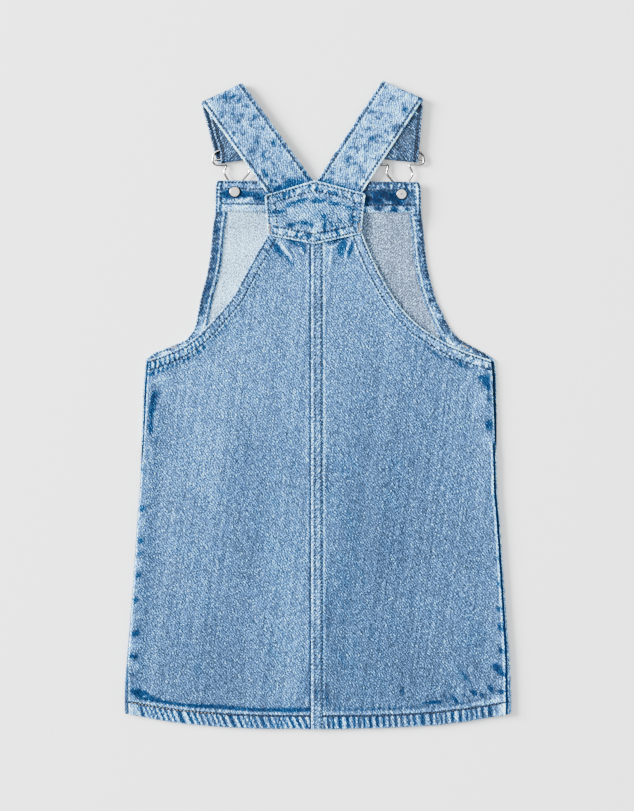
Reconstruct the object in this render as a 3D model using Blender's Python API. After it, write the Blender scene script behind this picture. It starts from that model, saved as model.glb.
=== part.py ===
"""Denim pinafore dress for a child of about five, laid flat on its front with the back on top.

Metres, +Z up. X runs across the dress, Y from the hem to the shoulders, and the floor is Z = 0.
The origin lies on the floor under the middle of the dress. The layers, from the floor up, are the
front with its bib, the turned hems of the bib, the back panels, the ends of the straps and the
yoke. Each strap folds over at the shoulder, runs down to its buckle, turns round the buckle's bar
and comes back up as a short tail. The buckle's loop hangs on the shank of a button on the bib.
"""

import math
from collections import namedtuple

import bmesh
import bpy
from mathutils import Matrix, Vector

# Cloth.
GAP = 0.0003  # air between two pieces that touch
CLOTH = 0.0011  # one layer of denim
TURNED = 0.0020  # denim with its edge turned in and stitched down
HEM_DEPTH = 0.0117
ARMHOLE_HEM = 0.0095

# Front and back panels. The outline is where the flat dress ends at each side, and the seam
# lies the given distance inside it, rolled on to the top.
Level = namedtuple("Level", "y left right left_seam right_seam")
SKIRT = (
    Level(-0.2785, -0.1744, 0.1742, 0.0042, 0.0034),
    Level(-0.2660, -0.1742, 0.1739, 0.0038, 0.0032),
    Level(-0.2340, -0.1722, 0.1728, 0.0014, 0.0024),
    Level(-0.1760, -0.1679, 0.1688, 0.0009, 0.0016),
    Level(-0.1040, -0.1629, 0.1638, 0.0008, 0.0012),
    Level(-0.0680, -0.1602, 0.1612, 0.0010, 0.0012),
    Level(-0.0340, -0.1593, 0.1611, 0.0028, 0.0020),
    Level(0.0200, -0.1573, 0.1612, 0.0036, 0.0040),
    Level(0.0400, -0.1556, 0.1598, 0.0032, 0.0042),
)
HEM_LOW = -0.2922
HEM_HALF = 0.174
HEM_CORNER_RISE = 0.0141
HEM_BEND = 2.84  # power of the hem's curve
HEM_FADE = 0.110  # height over which the hem's curve dies away
OPENING_FOOT = -0.034  # the side opening runs from here up to the underarm
OPENING_CLOSE = 0.018  # length over which the side closes below the opening
UNDERARM = 0.040
FREE_LAP = 0.004  # flat margin of an edge that isn't rolled

# Armhole edges, as the distance of each edge from the middle at each height.
Edge = namedtuple("Edge", "y left right")
BACK_ARMHOLE = (
    Edge(0.0400, -0.1524, 0.1556),
    Edge(0.0442, -0.1405, 0.1425),
    Edge(0.0505, -0.1256, 0.1258),
    Edge(0.0573, -0.1141, 0.1118),
    Edge(0.0700, -0.1003, 0.0922),
    Edge(0.0826, -0.0888, 0.0788),
    Edge(0.0964, -0.0773, 0.0682),
    Edge(0.1171, -0.0659, 0.0562),
    Edge(0.1377, -0.0544, 0.0464),
    Edge(0.1516, -0.0464, 0.0409),
    Edge(0.1640, -0.0415, 0.0365),
)
BIB_EDGE = (
    Edge(0.0400, -0.1556, 0.1598),
    Edge(0.0455, -0.1500, 0.1517),
    Edge(0.0530, -0.1313, 0.1379),
    Edge(0.0600, -0.1178, 0.1265),
    Edge(0.0700, -0.1112, 0.1184),
    Edge(0.0840, -0.1082, 0.1115),
    Edge(0.0950, -0.1060, 0.1066),
    Edge(0.1170, -0.1003, 0.1003),
    Edge(0.1310, -0.0977, 0.0977),
    Edge(0.1580, -0.0950, 0.0950),
    Edge(0.1730, -0.0927, 0.0930),
    Edge(0.1970, -0.0920, 0.0923),
    Edge(0.2012, -0.0900, 0.0903),
)
BIB_TOP = 0.2012
BIB_TOP_TILT = -0.0007  # the right end is this much lower than the middle
FACING_FOOT = 0.1735
FACING_STEP = 0.0008
SIDE_HEM = 0.0108
SIDE_HEM_UNDER_FACING = 0.0056
SIDE_HEM_MARGIN = 0.0005
STEEPEST_LEAN = 2.5  # widest slope of the bib's edge that the hem's width follows
BIB_CORNER = 0.020  # within this of its top the bib's edge counts as upright

# Heights over the floor.
SIDE_HEIGHT = 0.0060  # both panels and the seam at the rolled sides
BACK_HEIGHT = 0.0031  # top of the back panels away from their edges
ARMHOLE_HEIGHT = 0.0051
HEM_HEIGHT = 0.0046
SIDE_REACH = 0.020
EDGE_REACH = 0.024
HEM_REACH = 0.030
OPENING_HEIGHT = 0.0052
TURN_STEP = 0.0015  # length over which a turned edge gets its full thickness

# Broad soft waves of the back, as ridges along the dress.
Wave = namedtuple("Wave", "x y half_width half_length height")
WAVES = (
    Wave(-0.118, -0.110, 0.034, 0.150, 0.0009),
    Wave(-0.052, -0.175, 0.030, 0.120, 0.0007),
    Wave(0.066, -0.060, 0.036, 0.140, 0.0009),
    Wave(0.126, -0.180, 0.030, 0.110, 0.0007),
    Wave(-0.060, 0.050, 0.034, 0.070, 0.0006),
)
# The waves start and reach their full height this far from a side, the hem and the centre band.
CALM_SIDE = (0.004, 0.030)
CALM_HEM = (HEM_DEPTH, 0.045)
CALM_CENTRE = (0.006, 0.020)

# Centre-back band.
BAND_LEFT = -0.0059
BAND_RIGHT = 0.0038
BAND_CLOTH = 0.0010
BAND_TOP = 0.1580
CENTRE_SEAM = -0.0010
BAND_LEVELS = (0.040, 0.060, 0.080, 0.100, 0.115, 0.131, 0.145, BAND_TOP)

# Yoke.
YOKE_MIDDLE = -0.0030
YOKE_PEAK = 0.2017
YOKE_POINT = 0.1443
YOKE_CLOTH = 0.0013
YOKE_BASE = 0.0057
YOKE_CORNER = 0.0026
YokeSide = namedtuple("YokeSide", "top_x top_y foot_x foot_y")
YOKE_LEFT = YokeSide(-0.0478, 0.1886, -0.0454, 0.1522)
YOKE_RIGHT = YokeSide(0.0423, 0.1903, 0.0391, 0.1535)

# Buttons, rivet caps and buckles.
BUTTON_LEFT = Vector((-0.0750, 0.1913))
BUTTON_RIGHT = Vector((0.0752, 0.1892))
BUTTON_RADIUS = 0.0085
BUTTON_HEAD = 0.0022
SHANK_RADIUS = 0.0024
CAP_RADIUS = 0.0049
CAP_HEIGHT = 0.0014
WIRE = 0.0010  # radius of the buckle's wire
BIB_RISE = BUTTON_HEAD + 2 * GAP + 2 * WIRE
RISE_FLAT = 0.018  # the bib is raised all over within this distance of a button
RISE_REACH = 0.042

# Straps.
STRAP_HALF = 0.0201
STRAP_CLOTH = 0.0020
STRAP_END = 0.0080  # length of strap hidden under the yoke
STRAP_OVER_FACING = 0.0006
STRAP_SQUARE = 0.026  # where the strap's lines of points cross it square, past its slanted end
FOLD_RADIUS = 0.00345  # to the middle of the cloth
BAR_TURN = WIRE + GAP + STRAP_CLOTH / 2
RUN_HEIGHT = STRAP_CLOTH / 2
BAR_HEIGHT = RUN_HEIGHT + BAR_TURN
BACK_RUN_HEIGHT = RUN_HEIGHT + 2 * FOLD_RADIUS
STRAP_DROP_FOOT = 0.203
STRAP_DROP_TOP = 0.219
SWING_REACH = 0.025
# start: middle of the strap at the yoke; angles in degrees from +X, anticlockwise.
Strap = namedtuple(
    "Strap", "side start heading fold fold_angle run swing bar_tilt tail tail_swing tail_squeeze"
)
STRAPS = (
    Strap("left", Vector((-0.0265, 0.1978)), 125.9, Vector((-0.0869, 0.2810)), 25.5,
          0.0602, 0.0, 8.0, 0.048, 13.0, 0.0030),
    Strap("right", Vector((0.0198, 0.1970)), 56.9, Vector((0.0763, 0.2836)), -23.8,
          0.0609, 9.0, -6.1, 0.048, 1.4, 0.0),
)

# Buckles: half outlines of the wire, from the top of the ring to the foot of the loop.
# x is measured from the buckle's middle and y from the button; round is the bend's radius.
Corner = namedtuple("Corner", "x y round")
RING_HALF = 0.0233
RING_TOP_CUT = 0.0065
RING_TOP_ROUND = 0.0030
LOOP_SLOT = SHANK_RADIUS + GAP + WIRE + 0.0001
# shift is how far the ring's middle lies to the right of the button.
Buckle = namedtuple("Buckle", "side button shift ring_top ring_corner ring_shoulder ring_low")
BUCKLES = (
    Buckle("left", BUTTON_LEFT, 0.0038, 0.0382, 0.0060, 0.0382, 0.0243),
    Buckle("right", BUTTON_RIGHT, -0.0036, 0.0405, 0.0042, 0.0356, 0.0269),
)
NECK_HALF = 0.0090
LOOP_HALF = 0.0122
LOOP_WIDEST = 0.0185
LOOP_WAIST = 0.0070
BAR_HALF = 0.0222
BAR_WIRE = 0.95  # the bar's radius as a share of the ring's
WIRE_SIDES = 8

Colour = namedtuple("Colour", "name rgb roughness metallic")
DENIM = Colour("denim", (0.22, 0.36, 0.55), 0.85, 0.0)
NICKEL = Colour("nickel", (0.78, 0.77, 0.76), 0.25, 1.0)


def smooth(start, end, value):
    """0 at start and 1 at end, with soft ends; start may be the larger."""
    share = min(1.0, max(0.0, (value - start) / (end - start)))
    return share * share * (3 - 2 * share)


def mix(a, b, share):
    return a + (b - a) * share


def spread(start, end, steps):
    return [mix(start, end, step / steps) for step in range(steps + 1)]


def turned(vector, angle):
    return Matrix.Rotation(angle, 2) @ vector


def heading(degrees):
    return Vector((math.cos(math.radians(degrees)), math.sin(math.radians(degrees))))


def column_at(rows, column, y):
    """A table's column at height y, on a curve that never swings past its rows."""
    ys = [row.y for row in rows]
    values = [getattr(row, column) for row in rows]
    y = min(max(y, ys[0]), ys[-1])
    last = len(rows) - 1
    i = next((k for k in range(last) if y <= ys[k + 1]), last - 1)
    rises = [(values[k + 1] - values[k]) / (ys[k + 1] - ys[k]) for k in range(last)]

    def slope(k):
        if k in (0, last):
            return rises[min(k, last - 1)]
        before, after = rises[k - 1], rises[k]
        return 0.0 if before * after <= 0 else 2 * before * after / (before + after)

    step = ys[i + 1] - ys[i]
    t = (y - ys[i]) / step
    return (
        values[i] * (1 + 2 * t) * (1 - t) ** 2
        + slope(i) * step * t * (1 - t) ** 2
        + values[i + 1] * t * t * (3 - 2 * t)
        + slope(i + 1) * step * t * t * (t - 1)
    )


def material(colour):
    made = bpy.data.materials.get(colour.name)
    if made is None:
        made = bpy.data.materials.new(colour.name)
        made.use_nodes = True
        shader = made.node_tree.nodes["Principled BSDF"]
        shader.inputs["Base Color"].default_value = (*colour.rgb, 1)
        shader.inputs["Roughness"].default_value = colour.roughness
        shader.inputs["Metallic"].default_value = colour.metallic
        made.diffuse_color = (*colour.rgb, 1)
    return made


def add_piece(name, points, faces, colour):
    """One closed body from points and faces, with its faces turned outwards."""
    mesh = bpy.data.meshes.new(name)
    mesh.from_pydata([tuple(point) for point in points], [], faces)
    shape = bmesh.new()
    shape.from_mesh(mesh)
    bmesh.ops.recalc_face_normals(shape, faces=shape.faces)
    shape.to_mesh(mesh)
    shape.free()
    mesh.shade_smooth()
    mesh.set_sharp_from_angle(angle=math.radians(40))
    mesh.materials.append(material(colour))
    piece = bpy.data.objects.new(name, mesh)
    bpy.context.scene.collection.objects.link(piece)
    return piece


def add_wall(name, outer, inner, colour):
    """A cloth wall between two grids of points that have the same rows and columns."""
    rows, columns = len(outer), len(outer[0])
    points = [point for grid in (outer, inner) for row in grid for point in row]

    def at(side, row, column):
        return (side * rows + row) * columns + column

    faces = []
    for row in range(rows - 1):
        for column in range(columns - 1):
            for side in (0, 1):
                faces.append((at(side, row, column), at(side, row, column + 1),
                              at(side, row + 1, column + 1), at(side, row + 1, column)))
    rim = [(0, column) for column in range(columns)]
    rim += [(row, columns - 1) for row in range(1, rows)]
    rim += [(rows - 1, column) for column in range(columns - 2, -1, -1)]
    rim += [(row, 0) for row in range(rows - 2, 0, -1)]
    for here, after in zip(rim, rim[1:] + rim[:1]):
        faces.append((at(0, *here), at(0, *after), at(1, *after), at(1, *here)))
    return add_piece(name, points, faces, colour)


def bib_lift(x, y):
    """Height of the front over the floor: the bib rides over the buttons and buckle loops."""
    place = Vector((x, y))
    nearest = min((place - button).length for button in (BUTTON_LEFT, BUTTON_RIGHT))
    return BIB_RISE * smooth(RISE_REACH, RISE_FLAT, nearest)


def hem_curve(x, y):
    """y moved up by the curve of the hem, less and less with height."""
    rise = HEM_CORNER_RISE * abs(x / HEM_HALF) ** HEM_BEND
    return y + rise * smooth(HEM_LOW + HEM_FADE, HEM_LOW, y)


def outline(side, y):
    return column_at(SKIRT, side, y)


def seam_inset(side, y):
    return column_at(SKIRT, side + "_seam", y)


def closed_side(y):
    """1 where front and back are seamed at the side, 0 along the side opening."""
    return smooth(OPENING_FOOT, OPENING_FOOT - OPENING_CLOSE, y)


def side_height(y):
    open_height = mix(OPENING_HEIGHT, ARMHOLE_HEIGHT, smooth(0, UNDERARM, y))
    return mix(open_height, SIDE_HEIGHT, closed_side(y))


def rolled(edge_x, way, radius, roll, lap, cloth, share):
    """A point of a rolled edge: how far across, and its outer and inner height.

    The cloth lies flat, bends up round the radius through the roll, and runs on straight for
    the lap. share is 1 at the flat and 0 at the edge. edge_x is the outermost x. The inner
    point is offset inwards, so both come back as (x, height) pairs.
    """
    bend = radius * roll
    if roll < math.pi / 2:
        flat_x = edge_x - way * (radius * math.sin(roll) + lap * math.cos(roll))
    else:
        flat_x = edge_x - way * radius
    distance = (bend + lap) * (1 - share)
    angle = min(distance / radius, roll)
    beyond = max(0.0, distance - bend)
    across = radius * math.sin(angle) + beyond * math.cos(angle)
    height = radius * (1 - math.cos(angle)) + beyond * math.sin(angle)
    outer = (flat_x + way * across, height)
    inner = (outer[0] - way * cloth * math.sin(angle), height + cloth * math.cos(angle))
    return outer, inner


def front_cloth(y):
    return mix(CLOTH, TURNED, smooth(HEM_LINE + TURN_STEP, HEM_LINE, y))


# Heights of the lines of points. Front and back share those of the skirt, so their seams agree.
HEM_LINE = HEM_LOW + HEM_DEPTH
SKIRT_LEVELS = (
    HEM_LOW, mix(HEM_LOW, HEM_LINE, 0.5), HEM_LINE, HEM_LINE + TURN_STEP,
    -0.268, -0.250, -0.225, -0.195, -0.160, -0.125, -0.095, -0.075, -0.060,
    *spread(OPENING_FOOT - OPENING_CLOSE, OPENING_FOOT, 4), -0.012, 0.012, 0.030,
)
BIB_LEVELS = (
    *spread(UNDERARM, 0.062, 6), 0.069, 0.079, 0.091, 0.107, 0.125, 0.143, 0.157, 0.166,
    FACING_FOOT - GAP - FACING_STEP, FACING_FOOT - GAP, FACING_FOOT,
    0.182, 0.190, BIB_TOP - 0.0042, BIB_TOP - 0.0004,
)
ARMHOLE_LEVELS = (
    *spread(UNDERARM, 0.060, 6), 0.067, 0.076, 0.087, 0.100, 0.115, 0.131, 0.145, 0.155, 0.164,
)
# Shares of the way across a stretch, for the points of one line.
SIDE_SHARES = (0.0, 0.25, 0.5, 0.75, 1.0)
SIDE_COLUMNS = len(SIDE_SHARES)
FRONT_MIDDLE = (0.07, 0.14, 0.21, 0.29, 0.38, 0.5, 0.62, 0.71, 0.79, 0.86, 0.93)
BACK_SHARES = (0.0, 0.05, 0.20, 0.38, 0.56, 0.72, 0.84, 0.93)
YOKE_SHARES = (0.16, 0.32, 0.5, 0.68, 0.84)
YOKE_INSETS = (0.0, 0.3, 1.0)  # of the rounded corners, as shares of their radius


def front_skirt_row(y):
    cloth = front_cloth(y)
    ends = {}
    for side, way in (("left", -1), ("right", 1)):
        inset = seam_inset(side, y)
        radius = side_height(y) / 2
        back_roll = math.asin(max(0.0, 1 - inset / radius))
        over = max(0.0, inset - radius) - GAP
        roll = (math.pi - back_roll + min(0.0, over) / radius) * closed_side(y)
        lap = mix(FREE_LAP, max(0.0, over), closed_side(y))
        ends[side] = [
            rolled(outline(side, y), way, radius, roll, lap, cloth, share) for share in SIDE_SHARES
        ]
    flat_left, flat_right = ends["left"][-1][0][0], ends["right"][-1][0][0]
    middle = [mix(flat_left, flat_right, share) for share in FRONT_MIDDLE]
    pairs = ends["left"] + [((x, 0.0), (x, cloth)) for x in middle] + ends["right"][::-1]
    outer = [Vector((x, hem_curve(x, y), z)) for (x, z), _ in pairs]
    inner = [Vector((x, outside.y, z)) for outside, (_, (x, z)) in zip(outer, pairs)]
    return outer, inner


def bib_y(x, y):
    """y with the slight tilt of the bib's top edge."""
    return y + BIB_TOP_TILT * (x / BIB_EDGE[-1].right) * smooth(UNDERARM, BIB_TOP, y)


def bib_edge(side, y):
    return column_at(BIB_EDGE, side, y)


def slope_at(edge, side, y, step=0.001):
    """How far an edge moves across the dress for each unit up it."""
    return (edge(side, y + step) - edge(side, y - step)) / (2 * step)


def side_hem_width(y):
    step_top = FACING_FOOT - GAP
    return mix(SIDE_HEM, SIDE_HEM_UNDER_FACING, smooth(step_top - FACING_STEP, step_top, y))


def bib_row(y):
    """The bib's points at one height; the first and last five of them carry the side hem."""
    width = side_hem_width(y)
    offsets = (0.0, SIDE_HEM_MARGIN, width / 2, width, width + GAP)
    lean = {}
    for side in ("left", "right"):
        slope = min(abs(slope_at(bib_edge, side, y)), STEEPEST_LEAN)
        lean[side] = math.hypot(1, slope) if y < BIB_TOP - BIB_CORNER else 1.0
    xs = [bib_edge("left", y) + offset * lean["left"] for offset in offsets]
    right_xs = [bib_edge("right", y) - offset * lean["right"] for offset in offsets]
    xs += [mix(xs[-1], right_xs[-1], share) for share in FRONT_MIDDLE] + right_xs[::-1]
    lows = [Vector((x, bib_y(x, y), bib_lift(x, y))) for x in xs]
    return lows, [low + Vector((0, 0, CLOTH)) for low in lows]


def raised(row, height):
    return [point + Vector((0, 0, height)) for point in row]


def make_front():
    """Bib and skirt in one panel, flat on the floor, with its sides rolled up to the seams."""
    rows = [front_skirt_row(y) for y in SKIRT_LEVELS] + [bib_row(y) for y in BIB_LEVELS]
    return add_wall("front", [row[0] for row in rows], [row[1] for row in rows], DENIM)


def make_bib_hems():
    """The turned side hems and the top facing, made from the bib's own points, moved up."""
    height = CLOTH + GAP
    rows = [bib_row(y)[0] for y in BIB_LEVELS]
    hem_rows = [row for row, y in zip(rows, BIB_LEVELS) if y > UNDERARM + 0.005]
    for side, first in (("left", 1), ("right", 1 - SIDE_COLUMNS)):
        last = first + SIDE_COLUMNS - 2
        strips = [row[first:last] for row in hem_rows]
        add_wall("bib_side_hem_" + side, [raised(strip, height + CLOTH) for strip in strips],
                 [raised(strip, height) for strip in strips], DENIM)
    facing = [row[SIDE_COLUMNS - 1 : 1 - SIDE_COLUMNS]
              for row, y in zip(rows, BIB_LEVELS) if y >= FACING_FOOT]
    add_wall("bib_top_facing", [raised(row, height + CLOTH) for row in facing],
             [raised(row, height) for row in facing], DENIM)


def back_edge(side, y):
    """x of the back panel's free or seamed edge."""
    if y >= UNDERARM:
        return column_at(BACK_ARMHOLE, side, y)
    way = -1 if side == "left" else 1
    return outline(side, y) - way * seam_inset(side, y)


def back_distance(side, x, y):
    """Distance from the panel's side or armhole edge."""
    slope = slope_at(back_edge, side, y) if y > UNDERARM + 0.001 else 0.0
    return abs(back_edge(side, y) - x) / math.hypot(1, slope)


def back_top(side, x, y):
    """Height of the back panel's upper face."""
    away = back_distance(side, x, y)
    edge_height = side_height(y) if y < UNDERARM else ARMHOLE_HEIGHT
    reach = mix(SIDE_REACH, EDGE_REACH, smooth(0, UNDERARM, y))
    height = mix(BACK_HEIGHT, edge_height, smooth(reach, 0.002, away))
    low = hem_curve(x, HEM_LOW)
    height = max(height, mix(BACK_HEIGHT, HEM_HEIGHT, smooth(HEM_REACH, HEM_DEPTH, y - low)))
    calm = smooth(*CALM_SIDE, away) * smooth(*CALM_HEM, y - low) * smooth(*CALM_CENTRE, abs(x))
    for wave in WAVES:
        far = math.hypot((x - wave.x) / wave.half_width, (y - wave.y) / wave.half_length)
        height += calm * wave.height * smooth(1.0, 0.0, far)
    return height


def back_cloth(side, x, y):
    """Thickness of the back panel, doubled where its hem and armhole edge are turned in."""
    hem = smooth(HEM_DEPTH + TURN_STEP, HEM_DEPTH, y - hem_curve(x, HEM_LOW))
    armhole = smooth(ARMHOLE_HEM + 2 * TURN_STEP, ARMHOLE_HEM, back_distance(side, x, y))
    return mix(CLOTH, TURNED, max(hem, armhole * smooth(UNDERARM - 0.002, UNDERARM, y)))


def make_back(side):
    """One back panel, from the centre-back seam to the side seam and the armhole."""
    way = -1 if side == "left" else 1
    outer, inner = [], []
    for y in SKIRT_LEVELS + ARMHOLE_LEVELS:
        centre = CENTRE_SEAM + way * GAP / 2
        edge = back_edge(side, y)
        radius = side_height(y) / 2
        open_edge = y >= UNDERARM
        roll = 0.0 if open_edge else math.asin(max(0.0, 1 - seam_inset(side, y) / radius))
        roll *= closed_side(y)
        lap = FREE_LAP * (1 - closed_side(y))
        upper, lower = [], []
        flat = None
        for share in reversed(SIDE_SHARES):
            cloth = back_cloth(side, edge, y)
            (x, drop), (inner_x, inner_drop) = rolled(edge, way, radius, roll, lap, cloth, share)
            if flat is None:
                flat = x
            top = back_top(side, x if roll == 0 else flat, y)
            upper.append(Vector((x, hem_curve(x, y), top - drop)))
            lower.append(Vector((inner_x, hem_curve(x, y), top - inner_drop)))
        row_out, row_in = [], []
        for share in BACK_SHARES:
            x = mix(centre, flat, share)
            top = Vector((x, hem_curve(x, y), back_top(side, x, y)))
            row_out.append(top)
            row_in.append(top - Vector((0, 0, back_cloth(side, x, y))))
        outer.append(row_out + upper)
        inner.append(row_in + lower)
    return add_wall("back_" + side, outer, inner, DENIM)


def make_band():
    """The felled centre-back seam: a narrow doubled strip that lies on both back panels."""
    low, high = [], []
    for y in SKIRT_LEVELS + BAND_LEVELS:
        row = []
        for x, side in ((BAND_LEFT, "left"), (CENTRE_SEAM, "left"), (BAND_RIGHT, "right")):
            row.append(Vector((x, hem_curve(x, y), back_top(side, x, y) + GAP)))
        top = max(point.z for point in row)
        low.append([Vector((point.x, point.y, top)) for point in row])
        high.append(raised(low[-1], BAND_CLOTH))
    return add_wall("centre_back_band", high, low, DENIM)


def make_yoke():
    """Six-sided yoke over the ends of the straps and the tops of the back panels."""
    columns = []
    for side, way in ((YOKE_LEFT, 1), (YOKE_RIGHT, -1)):
        half = []
        for inset in YOKE_INSETS:
            cut = YOKE_CORNER * (1 - math.sqrt(1 - (1 - inset) ** 2))
            top = Vector((side.top_x + way * YOKE_CORNER * inset, side.top_y - cut))
            foot = Vector((side.foot_x + way * YOKE_CORNER * inset, side.foot_y + cut))
            half.append((foot, top))
        for share in YOKE_SHARES:
            top_x = mix(side.top_x, YOKE_MIDDLE, share)
            foot_x = mix(side.foot_x, YOKE_MIDDLE, share)
            half.append((Vector((foot_x, mix(side.foot_y, YOKE_POINT, share))),
                         Vector((top_x, mix(side.top_y, YOKE_PEAK, share)))))
        columns.append(half)
    middle = (Vector((YOKE_MIDDLE, YOKE_POINT)), Vector((YOKE_MIDDLE, YOKE_PEAK)))
    outer, inner = [], []
    for share in spread(0, 1, 6):
        row = []
        for foot, top in columns[0] + [middle] + columns[1][::-1]:
            place = foot.lerp(top, share)
            row.append(Vector((*place, YOKE_BASE + bib_lift(*place))))
        inner.append(row)
        outer.append(raised(row, YOKE_CLOTH))
    return add_wall("back_yoke", outer, inner, DENIM)


def strap_back_height(place):
    """Height of the middle of the strap's cloth on its run over the back."""
    at_yoke = 2 * CLOTH + GAP + STRAP_OVER_FACING + STRAP_CLOTH / 2 + bib_lift(*place)
    return mix(at_yoke, BACK_RUN_HEIGHT, smooth(STRAP_DROP_FOOT, STRAP_DROP_TOP, place.y))


def strap_point(strap, along, across, out):
    """A point of the strap: along from the yoke, across its width, out from its middle.

    The strap is drawn unrolled in the plane of the back run. What lies beyond the shoulder
    fold is rolled under, and what then lies beyond the bar is rolled up again as the tail.
    """
    way = heading(strap.heading)
    sideways = turned(way, math.pi / 2)
    place = strap.start + way * along + sideways * across
    fold_out = turned(heading(strap.fold_angle), math.pi / 2)
    fold = strap.fold - fold_out * (FOLD_RADIUS + STRAP_CLOTH / 2)
    past = (place - fold).dot(fold_out)
    if past <= 0:
        return Vector((*place, strap_back_height(place) + out))
    angle = past / FOLD_RADIUS
    if angle < math.pi:
        radius = FOLD_RADIUS + out
        place = place + fold_out * (radius * math.sin(angle) - past)
        return Vector((*place, RUN_HEIGHT + FOLD_RADIUS + radius * math.cos(angle)))
    past -= math.pi * FOLD_RADIUS
    place = place - fold_out * (2 * past + math.pi * FOLD_RADIUS)
    swing = math.radians(strap.swing) * smooth(0, SWING_REACH, past)
    place = fold + turned(place - fold, swing)

    bar = strap_bar(strap)
    bar_out = turned(heading(strap.bar_tilt), -math.pi / 2)
    past = (place - bar).dot(bar_out)
    if past <= 0:
        return Vector((*place, RUN_HEIGHT - out))
    angle = min(past / BAR_TURN, math.pi)
    place = place + bar_out * ((BAR_TURN + out) * math.sin(angle) - past)
    squeeze = (across + STRAP_HALF) / (2 * STRAP_HALF)
    place.x += strap.tail_squeeze * squeeze * smooth(0, math.pi, angle)
    if angle < math.pi:
        return Vector((*place, BAR_HEIGHT - (BAR_TURN + out) * math.cos(angle)))
    past -= math.pi * BAR_TURN
    place = place - bar_out * past
    swing = math.radians(strap.tail_swing) * smooth(0, SWING_REACH, past)
    place = bar + turned(place - bar, swing)
    return Vector((*place, BAR_HEIGHT + BAR_TURN + out))


def strap_bar(strap):
    """Middle of the bar that the strap turns round."""
    run_way = 2 * strap.fold_angle - strap.heading + strap.swing
    return strap.fold + heading(run_way) * strap.run


def slant_of(strap, line):
    """How far along the strap a line across it moves for each unit across."""
    way = heading(strap.heading)
    return line.dot(way) / line.dot(turned(way, math.pi / 2))


def strap_rows(strap):
    """(along, slant) of each line of points across the strap, from the yoke to the tail's end."""
    yoke = YOKE_LEFT if strap.side == "left" else YOKE_RIGHT
    seam = Vector((YOKE_MIDDLE - yoke.top_x, YOKE_PEAK - yoke.top_y))
    end_slant = slant_of(strap, seam)
    fold_line = heading(strap.fold_angle)
    fold_slant = slant_of(strap, fold_line)
    bar_line = heading(2 * strap.fold_angle - strap.bar_tilt + strap.swing)
    bar_slant = slant_of(strap, bar_line)
    fold_out = turned(fold_line, math.pi / 2)
    squint = heading(strap.heading).dot(fold_out)
    fold_start = (strap.fold - strap.start).dot(fold_out) - FOLD_RADIUS - STRAP_CLOTH / 2
    fold_start /= squint
    fold_length = math.pi * FOLD_RADIUS / squint
    fold_end = fold_start + fold_length
    run = strap.run - (FOLD_RADIUS + STRAP_CLOTH / 2) / squint
    bar_start = fold_end + run
    bar_end = bar_start + math.pi * BAR_TURN
    rows = [(mix(-STRAP_END, STRAP_SQUARE, share), mix(end_slant, 0, share))
            for share in spread(0, 1, 6)]
    rows += [(mix(STRAP_SQUARE, fold_start, share), mix(0, fold_slant, share))
             for share in (0.3, 0.6, 0.85)]
    rows += [(along, fold_slant) for along in spread(fold_start, fold_end, 6)]
    rows += [(mix(fold_end, bar_start, share), mix(fold_slant, bar_slant, share))
             for share in (0.2, 0.4, 0.6, 0.85)]
    rows += [(along, bar_slant) for along in spread(bar_start, bar_end, 6)]
    rows += [(bar_end + strap.tail * share, mix(bar_slant, 0, share))
             for share in (0.15, 0.4, 0.7, 1)]
    return rows


def make_strap(strap):
    """A folded strap: over the back, round the shoulder, down, round the bar and up again."""
    keep = -1 if strap.side == "left" else 1
    limit = YOKE_MIDDLE + keep * GAP / 2
    faces_out = {}
    for out in (STRAP_CLOTH / 2, -STRAP_CLOTH / 2):
        grid = []
        for along, slant in strap_rows(strap):
            row = []
            for across in spread(-STRAP_HALF, STRAP_HALF, 6):
                point = strap_point(strap, along + slant * across, across, out)
                if keep * (point.x - limit) < 0:
                    point.x = limit
                row.append(point)
            grid.append(row)
        faces_out[out] = grid
    return add_wall("strap_" + strap.side, *faces_out.values(), DENIM)


def rounded(corners, steps):
    """A closed outline with each corner bent round its own radius."""
    points = []
    count = len(corners)
    for i, corner in enumerate(corners):
        here = Vector((corner.x, corner.y))
        before = Vector(corners[i - 1][:2]) - here
        after = Vector(corners[(i + 1) % count][:2]) - here
        half = before.angle(after) / 2
        longest = 0.48 * min(before.length, after.length)
        reach = min(corner.round / math.tan(half), longest)
        radius = reach * math.tan(half)
        before.normalize()
        after.normalize()
        start, end = here + before * reach, here + after * reach
        middle = here + (before + after).normalized() * radius / math.sin(half)
        for share in spread(0, 1, steps):
            spoke = (start - middle).lerp(end - middle, share)
            points.append(middle + spoke.normalized() * radius)
    return points


def wire_ring(middle, sideways, radius, turn):
    """The points round a wire at one place; turn is in steps from one point to the next."""
    ring = []
    for step in range(WIRE_SIDES):
        angle = 2 * math.pi * (step + turn) / WIRE_SIDES
        ring.append(middle + radius * math.cos(angle) * sideways
                    + Vector((0, 0, radius * math.sin(angle))))
    return ring


def joined(rings):
    """Points and faces of a tube through rings; one that comes back as the last closes it."""
    closed = rings[0] is rings[-1]
    points = [point for ring in (rings[:-1] if closed else rings) for point in ring]
    faces = []
    for ring in range(len(rings) - 1):
        here = ring * WIRE_SIDES
        after = (here + WIRE_SIDES) % len(points)
        for step in range(WIRE_SIDES):
            beside = (step + 1) % WIRE_SIDES
            faces.append((here + step, after + step, after + beside, here + beside))
    return points, faces


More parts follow.
